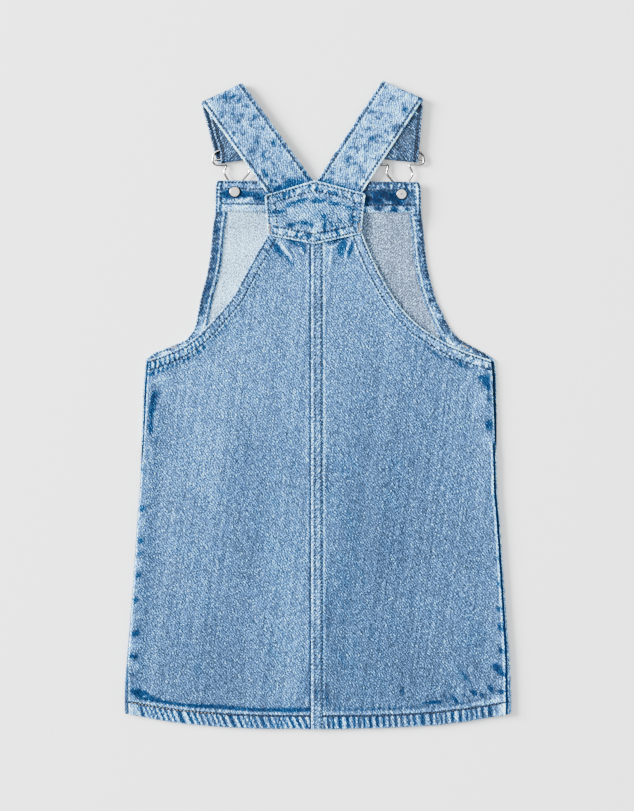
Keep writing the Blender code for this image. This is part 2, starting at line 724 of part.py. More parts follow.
def buckle_outline(buckle):
    low = buckle.ring_low
    shoulder = min(buckle.ring_shoulder, buckle.ring_top - RING_TOP_ROUND)
    half = (
        Corner(RING_HALF - RING_TOP_CUT, buckle.ring_top, RING_TOP_ROUND),
        Corner(RING_HALF, shoulder, buckle.ring_corner),
        Corner(RING_HALF, low, buckle.ring_corner),
        Corner(NECK_HALF, low, 0.0016),
        Corner(LOOP_HALF, LOOP_WIDEST, 0.0060),
        Corner(LOOP_SLOT, LOOP_WAIST, 0.0040),
        Corner(LOOP_SLOT, -LOOP_SLOT, LOOP_SLOT),
    )
    return half + tuple(Corner(-corner.x, corner.y, corner.round) for corner in reversed(half))


def make_buckle(buckle, strap):
    """Bent wire: a ring for the strap over a keyhole loop for the button, and the ring's bar."""
    ring_middle = (buckle.ring_low + buckle.ring_top) / 2
    loop_height = BUTTON_HEAD + GAP + WIRE
    centre = []
    for place in rounded(buckle_outline(buckle), 5):
        lean = max(0.0, place.y - LOOP_WAIST) / (ring_middle - LOOP_WAIST)
        x = buckle.button.x + place.x + buckle.shift * lean
        rise = smooth(LOOP_WAIST, buckle.ring_low, place.y)
        centre.append(Vector((x, buckle.button.y + place.y, mix(loop_height, BAR_HEIGHT, rise))))
    rings = []
    for i, point in enumerate(centre):
        run = centre[(i + 1) % len(centre)] - centre[i - 1]
        sideways = Vector((run.y, -run.x, 0)).normalized()
        rings.append(wire_ring(point, sideways, WIRE, 0))
    points, faces = joined(rings + rings[:1])
    frame = add_piece("buckle_" + buckle.side, points, faces, NICKEL)

    bar_middle = strap_bar(strap)
    ring_x = buckle.button.x + buckle.shift
    way = heading(strap.bar_tilt)
    bar_middle += way * (ring_x - bar_middle.x) / way.x
    sideways = turned(way, math.pi / 2).to_3d()
    ends = [Vector((*(bar_middle + way * end), BAR_HEIGHT)) for end in (-BAR_HALF, BAR_HALF)]
    points, faces = joined([wire_ring(end, sideways, WIRE * BAR_WIRE, 0.5) for end in ends])
    faces += [tuple(range(WIRE_SIDES)), tuple(range(WIRE_SIDES, 2 * WIRE_SIDES))]
    bar = add_piece("bar_" + buckle.side, points, faces, NICKEL)
    bar.hide_render = True
    bar.display_type = "WIRE"
    union = frame.modifiers.new("bar", "BOOLEAN")
    union.operation = "UNION"
    union.object = bar


def add_turned(name, profile, place, colour, sides=28):
    """A body turned about a vertical axis. The profile's first and last points lie on the axis."""
    points = [Vector((0, 0, profile[0][1]))]
    for radius, height in profile[1:-1]:
        for step in range(sides):
            angle = 2 * math.pi * step / sides
            points.append(Vector((radius * math.cos(angle), radius * math.sin(angle), height)))
    points.append(Vector((0, 0, profile[-1][1])))
    last = len(points) - 1
    faces = []
    for step in range(sides):
        after = (step + 1) % sides
        faces.append((0, 1 + after, 1 + step))
        for ring in range(len(profile) - 3):
            low, high = 1 + ring * sides, 1 + (ring + 1) * sides
            faces.append((low + step, low + after, high + after, high + step))
        faces.append((last, last - sides + step, last - sides + after))
    piece = add_piece(name, points, faces, colour)
    piece.location = place
    return piece


def make_button(side, button):
    """A button lying face down under the bib, with the shank that the buckle's loop holds."""
    top = BIB_RISE - GAP
    head = ((0, 0), (BUTTON_RADIUS - 0.0009, 0), (BUTTON_RADIUS, 0.0007),
            (BUTTON_RADIUS, BUTTON_HEAD - 0.0004), (BUTTON_RADIUS - 0.0004, BUTTON_HEAD),
            (SHANK_RADIUS, BUTTON_HEAD), (SHANK_RADIUS, top), (0, top))
    return add_turned("button_" + side, head, (*button, 0), NICKEL)


def make_cap(side, button):
    """The domed cap of the button's rivet, on the inside of the bib."""
    foot = BIB_RISE + 2 * CLOTH + 2 * GAP
    dome = ((0, 0), (CAP_RADIUS - 0.0003, 0), (CAP_RADIUS, 0.0003), (CAP_RADIUS - 0.0002, 0.0008),
            (CAP_RADIUS - 0.0011, 0.00115), (CAP_RADIUS * 0.4, CAP_HEIGHT - 0.0001), (0, CAP_HEIGHT))
    return add_turned("rivet_cap_" + side, dome, (*button, foot), NICKEL)


def main():
    for old in list(bpy.data.objects):
        bpy.data.objects.remove(old, do_unlink=True)
    make_front()
    make_bib_hems()
    for side in ("left", "right"):
        make_back(side)
    make_band()
    make_yoke()
    for strap, buckle in zip(STRAPS, BUCKLES):
        make_strap(strap)
        make_buckle(buckle, strap)
        make_button(buckle.side, buckle.button)
        make_cap(buckle.side, buckle.button)


main()
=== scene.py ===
"""Looks of the denim pinafore dress: cloth, seams, stitches, wire buckles, floor and lights.

Metres, +Z up, in the frame of the solids. Every cloth piece is a thin closed shell on the form of
its solid, and its points carry what the denim needs: the grain, the local shade, how far the
nearest worn edge is, and how far the nearest stitched row is.
"""

import math
from collections import namedtuple

import bpy
import numpy as np
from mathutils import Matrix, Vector
from mathutils.bvhtree import BVHTree


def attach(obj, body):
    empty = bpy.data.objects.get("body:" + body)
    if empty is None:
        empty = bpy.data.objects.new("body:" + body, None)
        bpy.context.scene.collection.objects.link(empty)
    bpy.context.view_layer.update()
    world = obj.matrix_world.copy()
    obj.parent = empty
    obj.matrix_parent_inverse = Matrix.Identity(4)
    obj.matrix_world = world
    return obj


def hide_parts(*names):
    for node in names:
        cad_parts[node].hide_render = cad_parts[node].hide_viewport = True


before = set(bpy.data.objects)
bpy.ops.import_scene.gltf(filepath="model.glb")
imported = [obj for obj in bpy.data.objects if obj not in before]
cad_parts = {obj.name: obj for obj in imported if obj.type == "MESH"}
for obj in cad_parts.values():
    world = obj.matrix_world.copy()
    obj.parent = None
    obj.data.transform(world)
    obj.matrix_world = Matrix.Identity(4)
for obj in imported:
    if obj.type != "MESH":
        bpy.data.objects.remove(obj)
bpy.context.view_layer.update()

MM = 0.001
FAR = 9.0  # stands for a distance that nothing reaches

# ---------------------------------------------------------------- camera
VIEW_MIDDLE = (-0.0009, -0.0009)
VIEW_HEIGHT = 0.005  # the height that the camera is measured from
EYE = 2.6  # how far the camera is above it
VIEW_LENGTH = 0.7299  # what the camera covers along the dress
SENSOR = 36.0  # millimetres


def placed_object(name, data):
    made = bpy.data.objects.new(name, data)
    bpy.context.scene.collection.objects.link(made)
    return made


camera = placed_object("camera", bpy.data.cameras.new("camera"))
camera.location = (*VIEW_MIDDLE, EYE + VIEW_HEIGHT)
camera.data.sensor_width = SENSOR
camera.data.lens = SENSOR * EYE / VIEW_LENGTH
camera.data.clip_end = 20.0
bpy.context.scene.camera = camera

# ---------------------------------------------------------------- sizes, as in the solids
GAP = 0.0003
CLOTH = 0.0011
TURNED = 0.0020
HEM_DEPTH = 0.0117
ARMHOLE_HEM = 0.0095
# y, left, right, left seam, right seam
SKIRT = np.array((
    (-0.2785, -0.1744, 0.1742, 0.0042, 0.0034), (-0.2660, -0.1742, 0.1739, 0.0038, 0.0032),
    (-0.2340, -0.1722, 0.1728, 0.0014, 0.0024), (-0.1760, -0.1679, 0.1688, 0.0009, 0.0016),
    (-0.1040, -0.1629, 0.1638, 0.0008, 0.0012), (-0.0680, -0.1602, 0.1612, 0.0010, 0.0012),
    (-0.0340, -0.1593, 0.1611, 0.0028, 0.0020), (0.0200, -0.1573, 0.1612, 0.0036, 0.0040),
    (0.0400, -0.1556, 0.1598, 0.0032, 0.0042),
))
HEM_LOW = -0.2922
HEM_HALF = 0.174
HEM_CORNER_RISE = 0.0141
HEM_BEND = 2.84
HEM_FADE = 0.110
HEM_LINE = HEM_LOW + HEM_DEPTH
OPENING_FOOT = -0.034
OPENING_CLOSE = 0.018
UNDERARM = 0.040
FREE_LAP = 0.004
BACK_TOP = 0.164  # under the yoke
HEM_STEP = 0.0015  # over which the doubled hem thins out
PITCH = 0.0031  # from stitch to stitch
# How far the stitched rows lie in from each piece's edge.
ARMHOLE_STITCHES = (0.0020, 0.0087)
BAND_ROWS = (0.0031, 0.0085)
YOKE_ROWS = (0.0024, 0.0088)
FACING_ROWS = (0.0022, 0.0078)
FACING_FOOT_ROW = 0.0062
SIDE_HEM_ROWS = (0.0018, 0.0088)
STRAP_ROW = 0.0030
# y, left, right
BACK_ARMHOLE = np.array((
    (0.0400, -0.1524, 0.1556), (0.0442, -0.1405, 0.1425), (0.0505, -0.1256, 0.1258),
    (0.0573, -0.1141, 0.1118), (0.0700, -0.1003, 0.0922), (0.0826, -0.0888, 0.0788),
    (0.0964, -0.0773, 0.0682), (0.1171, -0.0659, 0.0562), (0.1377, -0.0544, 0.0464),
    (0.1516, -0.0464, 0.0409), (0.1640, -0.0415, 0.0365),
))
BIB_EDGE = np.array((
    (0.0400, -0.1556, 0.1598), (0.0455, -0.1500, 0.1517), (0.0530, -0.1313, 0.1379),
    (0.0600, -0.1178, 0.1265), (0.0700, -0.1112, 0.1184), (0.0840, -0.1082, 0.1115),
    (0.0950, -0.1060, 0.1066), (0.1170, -0.1003, 0.1003), (0.1310, -0.0977, 0.0977),
    (0.1580, -0.0950, 0.0950), (0.1730, -0.0927, 0.0930), (0.1970, -0.0920, 0.0923),
    (0.2012, -0.0900, 0.0903),
))
BIB_TOP = 0.2012
BIB_TOP_TILT = -0.0007
FACING_FOOT = 0.1735
FACING_STEP = 0.0008
SIDE_HEM = 0.0108
SIDE_HEM_UNDER_FACING = 0.0056
STEEPEST_LEAN = 2.5
BIB_CORNER = 0.020
SIDE_HEIGHT = 0.0060
BACK_HEIGHT = 0.0031
ARMHOLE_HEIGHT = 0.0051
HEM_HEIGHT = 0.0046
SIDE_REACH = 0.020
EDGE_REACH = 0.024
HEM_REACH = 0.030
OPENING_HEIGHT = 0.0052
Wave = namedtuple("Wave", "x y half_width half_length height")
WAVES = (
    Wave(-0.118, -0.110, 0.034, 0.150, 0.0009),
    Wave(-0.052, -0.175, 0.030, 0.120, 0.0007),
    Wave(0.066, -0.060, 0.036, 0.140, 0.0009),
    Wave(0.126, -0.180, 0.030, 0.110, 0.0007),
    Wave(-0.060, 0.050, 0.034, 0.070, 0.0006),
)
BAND_LEFT = -0.0059
BAND_RIGHT = 0.0038
BAND_CLOTH = 0.0010
BAND_TOP = 0.1580
CENTRE_SEAM = -0.0010
YOKE_MIDDLE = -0.0030
YOKE_PEAK = 0.2017
YOKE_POINT = 0.1443
YOKE_CLOTH = 0.0013
YOKE_BASE = 0.0057
YOKE_CORNER = 0.0026
YokeSide = namedtuple("YokeSide", "top_x top_y foot_x foot_y")
YOKE_LEFT = YokeSide(-0.0478, 0.1886, -0.0454, 0.1522)
YOKE_RIGHT = YokeSide(0.0423, 0.1903, 0.0391, 0.1535)
BUTTON_LEFT = (-0.0750, 0.1913)
BUTTON_RIGHT = (0.0752, 0.1892)
BUTTON_RADIUS = 0.0085
BUTTON_HEAD = 0.0022
SHANK_RADIUS = 0.0024
CAP_RADIUS = 0.0049
CAP_HEIGHT = 0.0014
WIRE = 0.0010
BIB_RISE = BUTTON_HEAD + 2 * GAP + 2 * WIRE
RISE_FLAT = 0.018
RISE_REACH = 0.042
STRAP_HALF = 0.0201
STRAP_CLOTH = 0.0020
STRAP_END = 0.0080
STRAP_OVER_FACING = 0.0006
STRAP_SQUARE = 0.026
FOLD_RADIUS = 0.00345
BAR_TURN = WIRE + GAP + STRAP_CLOTH / 2
RUN_HEIGHT = STRAP_CLOTH / 2
BAR_HEIGHT = RUN_HEIGHT + BAR_TURN
BACK_RUN_HEIGHT = RUN_HEIGHT + 2 * FOLD_RADIUS
STRAP_DROP_FOOT = 0.203
STRAP_DROP_TOP = 0.219
SWING_REACH = 0.025
Strap = namedtuple(
    "Strap", "side start heading fold fold_angle run swing bar_tilt tail tail_swing tail_squeeze"
)
STRAPS = (
    Strap("left", (-0.0265, 0.1978), 125.9, (-0.0869, 0.2810), 25.5,
          0.0602, 0.0, 8.0, 0.048, 13.0, 0.0030),
    Strap("right", (0.0198, 0.1970), 56.9, (0.0763, 0.2836), -23.8,
          0.0609, 9.0, -6.1, 0.048, 1.4, 0.0),
)
Corner = namedtuple("Corner", "x y round")
RING_HALF = 0.0233
RING_TOP_CUT = 0.0065
RING_TOP_ROUND = 0.0030
LOOP_SLOT = SHANK_RADIUS + GAP + WIRE + 0.0001
Buckle = namedtuple("Buckle", "side button shift ring_top ring_corner ring_shoulder ring_low")
BUCKLES = (
    Buckle("left", BUTTON_LEFT, 0.0038, 0.0382, 0.0060, 0.0382, 0.0243),
    Buckle("right", BUTTON_RIGHT, -0.0036, 0.0405, 0.0042, 0.0356, 0.0269),
)
NECK_HALF = 0.0090
LOOP_HALF = 0.0122
LOOP_WIDEST = 0.0185
LOOP_WAIST = 0.0070
BAR_HALF = 0.0222


# ---------------------------------------------------------------- helpers
def ease(start, end, value):
    """0 at start and 1 at end, with soft ends; start may be the larger."""
    share = np.clip((np.asarray(value, float) - start) / (end - start), 0, 1)
    return share * share * (3 - 2 * share)


def mix(a, b, share):
    return a + (b - a) * share


def bump(value, middle, half):
    """1 at the middle, falling softly to 0 at half away from it."""
    return np.clip(1 - ((value - middle) / half) ** 2, 0, 1) ** 2


def vectors(*parts):
    """Arrays of the parts of points or vectors as one array."""
    return np.stack(np.broadcast_arrays(*parts), -1)


def heading(degrees):
    return np.array((math.cos(math.radians(degrees)), math.sin(math.radians(degrees))))


def turned(vector, angle):
    """The vectors turned by an angle, or each by its own."""
    x, y = vector[..., 0], vector[..., 1]
    c, s = np.cos(angle), np.sin(angle)
    return vectors(x * c - y * s, x * s + y * c)


def track(ys, values):
    """A smooth curve over y that never swings past its values."""
    rises = np.diff(values) / np.diff(ys)
    before, after = rises[:-1], rises[1:]
    both = np.where(before * after > 0, before + after, 1)
    inner = np.where(before * after > 0, 2 * before * after / both, 0)
    slopes = np.concatenate([rises[:1], inner, rises[-1:]])

    def at(y):
        y = np.clip(y, ys[0], ys[-1])
        i = np.clip(np.searchsorted(ys, y) - 1, 0, len(ys) - 2)
        step = ys[i + 1] - ys[i]
        t = (y - ys[i]) / step
        return (values[i] * (1 + 2 * t) * (1 - t) ** 2 + slopes[i] * step * t * (1 - t) ** 2
                + values[i + 1] * t * t * (3 - 2 * t) + slopes[i + 1] * step * t * t * (t - 1))

    return at


def tracks(table, column=1):
    """The curves of a table's left column and of the right one after it."""
    return {side: track(table[:, 0], table[:, column + k]) for k, side in enumerate(WAYS)}


WAYS = {"left": -1, "right": 1}
OUTLINE, SEAM_INSET = tracks(SKIRT), tracks(SKIRT, 3)
ARMHOLE, BIB_SIDE = tracks(BACK_ARMHOLE), tracks(BIB_EDGE)

CHANCE = np.random.default_rng(11).uniform(-1, 1, 4096)


def between_steps(value, at_step):
    """A smooth curve through what at_step gives at each whole number."""
    i = np.floor(value).astype(int)
    t = value - i
    return mix(at_step(i), at_step(i + 1), t * t * (3 - 2 * t))


def ripple(x, seed=0, row=0):
    """Smooth uneven waves along x, about -1 to 1."""
    return between_steps(x, lambda i: CHANCE[(i * 131 + row * 1619 + seed * 977) % 4096])


def mottle(x, y, seed=0):
    """Smooth uneven patches over x and y, about -1 to 1."""
    return between_steps(y, lambda j: ripple(x, seed, j))


def rope(along, spacing, seed):
    """Uneven humps and hollows of a stitched edge, one pair to each spacing, -1 to 1."""
    phase = along / spacing + 0.5 * ripple(along / (2.6 * spacing), seed)
    return np.sin(2 * np.pi * phase) * (0.72 + 0.28 * ripple(along / (1.7 * spacing), seed + 5))


def nearest(x, y, line):
    """How far each point is from a line of points, and how far along the line that is."""
    flat = vectors(np.ravel(x), np.ravel(y))
    steps = np.diff(line, axis=0)
    lengths = np.hypot(*steps.T)
    travelled = np.concatenate([[0], np.cumsum(lengths)])
    best, along = np.full(len(flat), FAR), np.zeros(len(flat))
    for start, step, length, before in zip(line, steps, lengths, travelled):
        offset = flat - start
        t = np.clip(offset @ step / length ** 2, 0, 1)
        far = np.hypot(*(offset - t[:, None] * step).T)
        closer = far < best
        best[closer], along[closer] = far[closer], before + t[closer] * length
    return best.reshape(np.shape(x)), along.reshape(np.shape(x))


def run_length(line):
    return np.concatenate([[0], np.cumsum(np.linalg.norm(np.diff(line, axis=0), axis=1))])


def spaced(line, pitch, start=0.0, end=0.0):
    """Points at even steps along a line, without a bit at each end."""
    travelled = run_length(line)
    count = max(2, int((travelled[-1] - start - end) / pitch))
    places = np.linspace(start, travelled[-1] - end, count)
    return np.stack([np.interp(places, travelled, line[:, k]) for k in range(line.shape[1])], -1)


def marked(marks, x, y, seed=0):
    """The tone and the height that soft marks add: creases, patches of more or less dye, and
    painted shade.

    A mark is its x, y, half length, half width, lean in degrees, tone and height, in millimetres.
    """
    x, y = x / MM, y / MM
    x = x + 0.9 * mottle(x / 4.3, y / 4.3, seed + 1) + 0.55 * mottle(x / 1.5, y / 1.5, seed + 3)
    y = y + 0.9 * mottle(x / 4.7, y / 4.7, seed + 2) + 0.55 * mottle(x / 1.6, y / 1.6, seed + 4)
    tone, rise = np.zeros_like(x), np.zeros_like(x)
    for mark_x, mark_y, long, wide, lean, mark_tone, height in marks:
        c, s = heading(lean)
        along = ((x - mark_x) * c + (y - mark_y) * s) / long
        across = ((y - mark_y) * c - (x - mark_x) * s) / wide
        shape = np.clip(1.12 - 1.12 * (along ** 2 + across ** 2), 0, 1)
        tone += mark_tone * shape
        rise += height * MM * shape
    return tone, rise


# ---------------------------------------------------------------- node building
WIDE = ("grain", "rows")  # what is stored on the cloth as three numbers


class Value:
    """A node's output that sums can be done with, each sum a node of its own."""

    def __init__(self, socket):
        self.socket, self.tree = socket, socket.id_data

    def __add__(self, other):
        return maths("ADD", self, other)

    def __radd__(self, other):
        return maths("ADD", other, self)

    def __sub__(self, other):
        return maths("SUBTRACT", self, other)

    def __rsub__(self, other):
        return maths("SUBTRACT", other, self)

    def __mul__(self, other):
        return maths("MULTIPLY", self, other)

    def __truediv__(self, other):
        return maths("DIVIDE", self, other)

    def __pow__(self, other):
        return maths("POWER", self, other)

    def __abs__(self):
        return maths("ABSOLUTE", self)

    def times_plus(self, factor, other):
        return maths("MULTIPLY_ADD", self, factor, other)


def maths(operation, *given):
    return shared("ShaderNodeMath", *given, operation=operation)


def combined(x, y, z):
    return shared("ShaderNodeCombineXYZ", x, y, z)


def shared(kind, *given, **settings):
    """The output of a new node in the tree that the values among its inputs share."""
    tree = next(value.tree for value in given if isinstance(value, Value))
    return output(tree, kind, *given, **settings)


def fill(made, given=(), named=None):
    """Links or sets the inputs of a node, in order and then by name."""
    sockets = [socket for socket in made.inputs if socket.enabled]
    chosen = list(zip(sockets, given))
    for name, value in (named or {}).items():
        chosen.append((next(socket for socket in sockets if socket.name == name), value))
    for socket, value in chosen:
        if isinstance(value, Value):
            made.id_data.links.new(value.socket, socket)
        else:
            socket.default_value = value


def node(tree, kind, *given, named=None, **settings):
    made = tree.nodes.new(kind)
    for name, value in settings.items():
        setattr(made, name, value)
    fill(made, given, named)
    return made


def outputs(made):
    return {socket.name: Value(socket) for socket in made.outputs if socket.enabled}


def output(*given, get=0, **settings):
    """One output of a new node: by name, or the first one that it offers."""
    found = outputs(node(*given, **settings))
    return found[get] if get else next(iter(found.values()))


def axes_of(value):
    return tuple(outputs(node(value.tree, "ShaderNodeSeparateXYZ", value)).values())


def soft_step(value, start, end, low=0.0, high=1.0):
    return shared("ShaderNodeMapRange", value, start, end, low, high,
                  interpolation_type="SMOOTHSTEP")


def flecks(across, along, size_across, size_along, detail=1.0, seed=0.0):
    """Noise stretched along the thread, as a value about zero."""
    return shared("ShaderNodeTexNoise", combined(across / size_across, along / size_along, seed),
                  named={"Scale": 1.0, "Detail": detail, "Roughness": 0.6}) - 0.5


# What a group's sockets hold, where it isn't a number.
HOLDS = {"Grain": "Vector", "Rows": "Vector", "Geometry": "Geometry", "Material": "Material"}


def add_sockets(tree, way, labels):
    for label in labels:
        kind = "NodeSocket" + HOLDS.get(label, "Float")
        tree.interface.new_socket(label, in_out=way, socket_type=kind)


def new_group(name, kind, *labels):
    """A group's tree, and the values that it is given."""
    tree = bpy.data.node_groups.new(name, kind)
    add_sockets(tree, "INPUT", labels)
    given = outputs(tree.nodes.new("NodeGroupInput"))
    return tree, *(given[label] for label in labels)


def close_group(tree, **results):
    add_sockets(tree, "OUTPUT", results)
    node(tree, "NodeGroupOutput", named=results)
    return tree


def weave_group():
    """Washed twill: uneven yarns in staggered floats, the wales they make, streaks and clouds."""
    tree, grain, lean, stagger, size, streak_lean = new_group(
        "washed_twill", "ShaderNodeTree", "Grain", "Lean", "Stagger", "Yarn", "Streak Lean")
    (x, y, _), (across, along, _) = (
        axes_of(shared("ShaderNodeVectorRotate", grain, named={"Angle": angle},
                       rotation_type="Z_AXIS")) for angle in (lean, streak_lean))
    wavering = x + flecks(x, y, 0.006, 0.006, 0.0, 8.0) * 0.0012
    yarn = wavering / size
    number = maths("FLOOR", yarn)
    own = shared("ShaderNodeTexWhiteNoise", number, noise_dimensions="1D")
    length = y / (size * 3.0) + number * (1 / 3) * stagger
    length = own.times_plus(0.22, length)
    float_shade = shared("ShaderNodeTexWhiteNoise", combined(number, maths("FLOOR", length), 0.0),
                         noise_dimensions="3D")
    gaps = soft_step(abs(maths("FRACT", length) - 0.5), 0.28, 0.46)
    wale = y.times_plus(stagger, wavering) / (size * 3.9)
    wale = flecks(x, y, 0.0045, 0.0045, 0.0, 3.0).times_plus(1.5, wale)
    side = abs(maths("FRACT", yarn) - 0.5)
    crown = 1.0 - side ** 2.0 * 4.0
    return close_group(
        tree,
        Yarns=float_shade - 0.5 + (own - 0.5) * 0.5,
        Gaps=gaps,
        Wales=maths("SINE", wale * (2 * math.pi)),
        Grit=flecks(across, along, 0.00095, 0.00125, 1.0, 7.0),
        Streak=(flecks(across, along, 0.0018, 0.0075, 1.0, 5.0)
                + flecks(across, along, 0.0046, 0.0240, 0.0, 9.0)),
        Cloud=flecks(across, along, 0.022, 0.045, 2.0, 2.0),
        Relief=crown - gaps)


def wear_group():
    """Pale rubbed edges, and the dark hollows that the stitches pull along their rows: kept indigo
    and painted shade.
    """
    tree, grain, edge, rows, width = new_group(
        "seam_wear", "ShaderNodeTree", "Grain", "Edge", "Rows", "Edge Width")
    x, y, _ = axes_of(grain)
    reach = edge + flecks(x, y, 0.0026, 0.0026, 1.0, 4.0) * 0.0016
    fuzzy = flecks(x, y, 0.0012, 0.0012, 0.0, 9.0).times_plus(2.6, 0.8)
    broken = flecks(x, y, 0.0042, 0.0042, 1.0, 2.0).times_plus(2.2, fuzzy)
    first, second, run = axes_of(rows)
    nearest_row = maths("MINIMUM", abs(first), abs(second))
    beat = maths("SINE", run * (2 * math.pi / PITCH))
    fine = 0.55 + flecks(x, y, 0.0016, 0.0016, 0.0, 6.0)
    return close_group(
        tree,
        Rubbed=soft_step(reach, width * 0.5, width, 1.0, 0.0) * broken,
        Dent=soft_step(nearest_row, 0.0004, 0.0013, 1.0, 0.0) * beat.times_plus(0.60, fine))


WEAVE, WEAR = weave_group(), wear_group()

# What the cloth shows from the deepest dye to bare cotton: place, then linear red, green, blue.
WORN = (
    (0.05, 0.0080, 0.0126, 0.0260), (0.17, 0.0115, 0.0215, 0.0396), (0.32, 0.0197, 0.0371, 0.0639),
    (0.38, 0.0255, 0.0445, 0.0812), (0.47, 0.0342, 0.0614, 0.1147), (0.60, 0.0486, 0.1057, 0.2249),
    (0.72, 0.0615, 0.1912, 0.4697), (0.78, 0.0677, 0.2820, 0.7839), (0.84, 0.1228, 0.4427, 0.9370),
    (0.95, 0.3370, 0.8270, 0.9670), (1.06, 0.6270, 0.9370, 0.9800),
)
DYED = (
    (0.05, 0.0004, 0.0071, 0.0296), (0.20, 0.0023, 0.0160, 0.0539), (0.32, 0.0033, 0.0245, 0.0743),
    (0.45, 0.0072, 0.0352, 0.0983), (0.60, 0.0113, 0.0692, 0.1816), (0.72, 0.0208, 0.1528, 0.3757),
    (0.84, 0.0900, 0.4357, 0.9300), (0.95, 0.3300, 0.8200, 0.9600), (1.06, 0.6200, 0.9300, 0.9800),
)
INSIDE = (
    (0.30, 0.0270, 0.0400, 0.0630), (0.49, 0.0516, 0.0694, 0.0993), (0.57, 0.0742, 0.0961, 0.1326),
    (0.68, 0.1146, 0.1530, 0.2290), (0.76, 0.1660, 0.2505, 0.4180), (0.83, 0.2390, 0.3940, 0.6680),
    (0.90, 0.3580, 0.7120, 0.9550), (0.95, 0.5330, 0.8700, 0.9900),
)
Finish = namedtuple("Finish", "name worn dyed base yarns gaps wales grit streak cloud lean "
                    "stagger streak_lean yarn rubbed edge_width dent")
FINISHES = (
    Finish("denim", WORN, DYED, 0.517, 0.26, -0.04, 0.14, 1.45, 0.08, 0.05,
           7, 1, -27, 0.00073, 0.26, 0.0015, 0.54),
    Finish("denim_inside", INSIDE, INSIDE, 0.760, 0.18, -0.03, 0.07, 1.60, 0.05, 0.06,
           0, -1, 20, 0.00068, 0.08, 0.0012, 0.20),
    Finish("denim_yoke", WORN, DYED, 0.535, 0.28, -0.04, 0.18, 1.60, 0.08, 0.05,
           7, 1, -27, 0.00074, 0.26, 0.0015, 0.58),
    Finish("denim_turned", INSIDE, WORN, 0.530, 0.32, -0.05, 0.26, 1.90, 0.08, 0.06,
           0, -1, 20, 0.00072, 0.26, 0.0017, 0.46),
    Finish("denim_strap", WORN, DYED, 0.600, 0.20, -0.04, 0.17, 1.45, 0.08, 0.06,
           -10, -1, 35, 0.00073, 0.26, 0.0017, 0.36),
)


def attribute(tree, name):
    return output(tree, "ShaderNodeAttribute", get="Vector" if name in WIDE else "Fac",
                  attribute_name=name)


def shade_ramp(value, shades):
    """A ramp that starts at the first shade's place and ends at the last one's."""
    low, high = shades[0][0], shades[-1][0]
    places = [(shade[0] - low) / (high - low) for shade in shades]
    ramp = node(value.tree, "ShaderNodeValToRGB", shared("ShaderNodeMapRange", value, low, high))
    elements = ramp.color_ramp.elements
    for place in places[1:-1]:
        elements.new(place)
    for element, place, shade in zip(elements, places, shades):
        element.position, element.color = place, (*shade[1:], 1)
    return outputs(ramp)["Color"]


def blended(share, first, second):
    return shared("ShaderNodeMix", share, first, second, data_type="RGBA")


def new_material(name):
    """A material, its tree and its shader."""
    made = bpy.data.materials.new(name)
    made.use_nodes = True
    return made, made.node_tree, made.node_tree.nodes["Principled BSDF"]


def raised(height, strength, distance):
    return output(height.tree, "ShaderNodeBump", get="Normal",
                  named={"Strength": strength, "Distance": distance, "Height": height})


def denim_material(finish):
    made, tree, shader = new_material(finish.name)
    grain = attribute(tree, "grain")
    weave = outputs(node(tree, "ShaderNodeGroup", node_tree=WEAVE, named={
        "Grain": grain, "Lean": math.radians(finish.lean), "Stagger": finish.stagger,
        "Yarn": finish.yarn, "Streak Lean": math.radians(finish.streak_lean)}))
    wear = outputs(node(tree, "ShaderNodeGroup", node_tree=WEAR, named={
        "Grain": grain, "Edge": attribute(tree, "edge"), "Rows": attribute(tree, "rows"),
        "Edge Width": finish.edge_width}))
    wash = attribute(tree, "tone") + finish.base
    for part in ("Yarns", "Gaps", "Wales", "Grit", "Streak", "Cloud"):
        wash = weave[part].times_plus(getattr(finish, part.lower()), wash)
    wash = wear["Rubbed"].times_plus(finish.rubbed, wash)
    # Darker along the stitched rows: partly indigo kept in the hollows, partly painted shade of
    # them.
    wash = wear["Dent"].times_plus(-finish.dent, wash)
    ragged = weave["Grit"].times_plus(1.7, attribute(tree, "dye"))
    deep = soft_step(weave["Streak"].times_plus(0.60, ragged), 0.26, 0.52)
    wash = deep.times_plus(-0.06, wash)
    share = weave["Cloud"].times_plus(1.2, deep.times_plus(1.0, 0.04))
    dents = wear["Dent"].times_plus(-0.00025, weave["Relief"] * 0.00008)
    fill(shader, named={
        "Base Color": blended(share, shade_ramp(wash, finish.worn), shade_ramp(wash, finish.dyed)),
        "Roughness": soft_step(wash, 0.1, 1.0, 0.78, 0.92), "Specular IOR Level": 0.03,
        "Normal": raised(dents, 1.0, 1.0)})
    return made


MATERIALS = {finish.name: denim_material(finish) for finish in FINISHES}


def plain_material(name, colour, roughness, metallic=0.0, spread=0.06, grain_size=0.0006,
                   painted_shade=None, lit_way=(0, 0, 1), lit_from=0.84, lit_to=0.99):
    """A finish with fine unevenness; where it turns from lit_way, its colour is painted shade."""
    made, tree, shader = new_material(name)
    noise = shared("ShaderNodeTexNoise", output(tree, "ShaderNodeTexCoord", get="Object"),
                   named={"Scale": 1 / grain_size, "Detail": 2.0, "Roughness": 0.6})
    tint = node(tree, "ShaderNodeValToRGB", noise)
    for element, way in zip(tint.color_ramp.elements, (-2, 2)):
        element.color = (*(min(c * (1 + way * spread), 1.0) for c in colour), 1)
    surface = outputs(tint)["Color"]
    # Painted shade: the colour is painted dark where the surface turns away from lit_way.
    if painted_shade:
        facing = shared("ShaderNodeVectorMath", output(tree, "ShaderNodeTexCoord", get="Normal"),
                        lit_way, get="Value", operation="DOT_PRODUCT")
        surface = blended(soft_step(abs(facing), lit_to, lit_from), surface, (*painted_shade, 1))
    fill(shader, named={
        "Base Color": surface, "Metallic": metallic,
        "Roughness": soft_step(noise, 0.3, 0.7, roughness * 0.85, roughness * 1.2),
        "Normal": raised(noise, 0.25, grain_size * 0.1)})
    return made
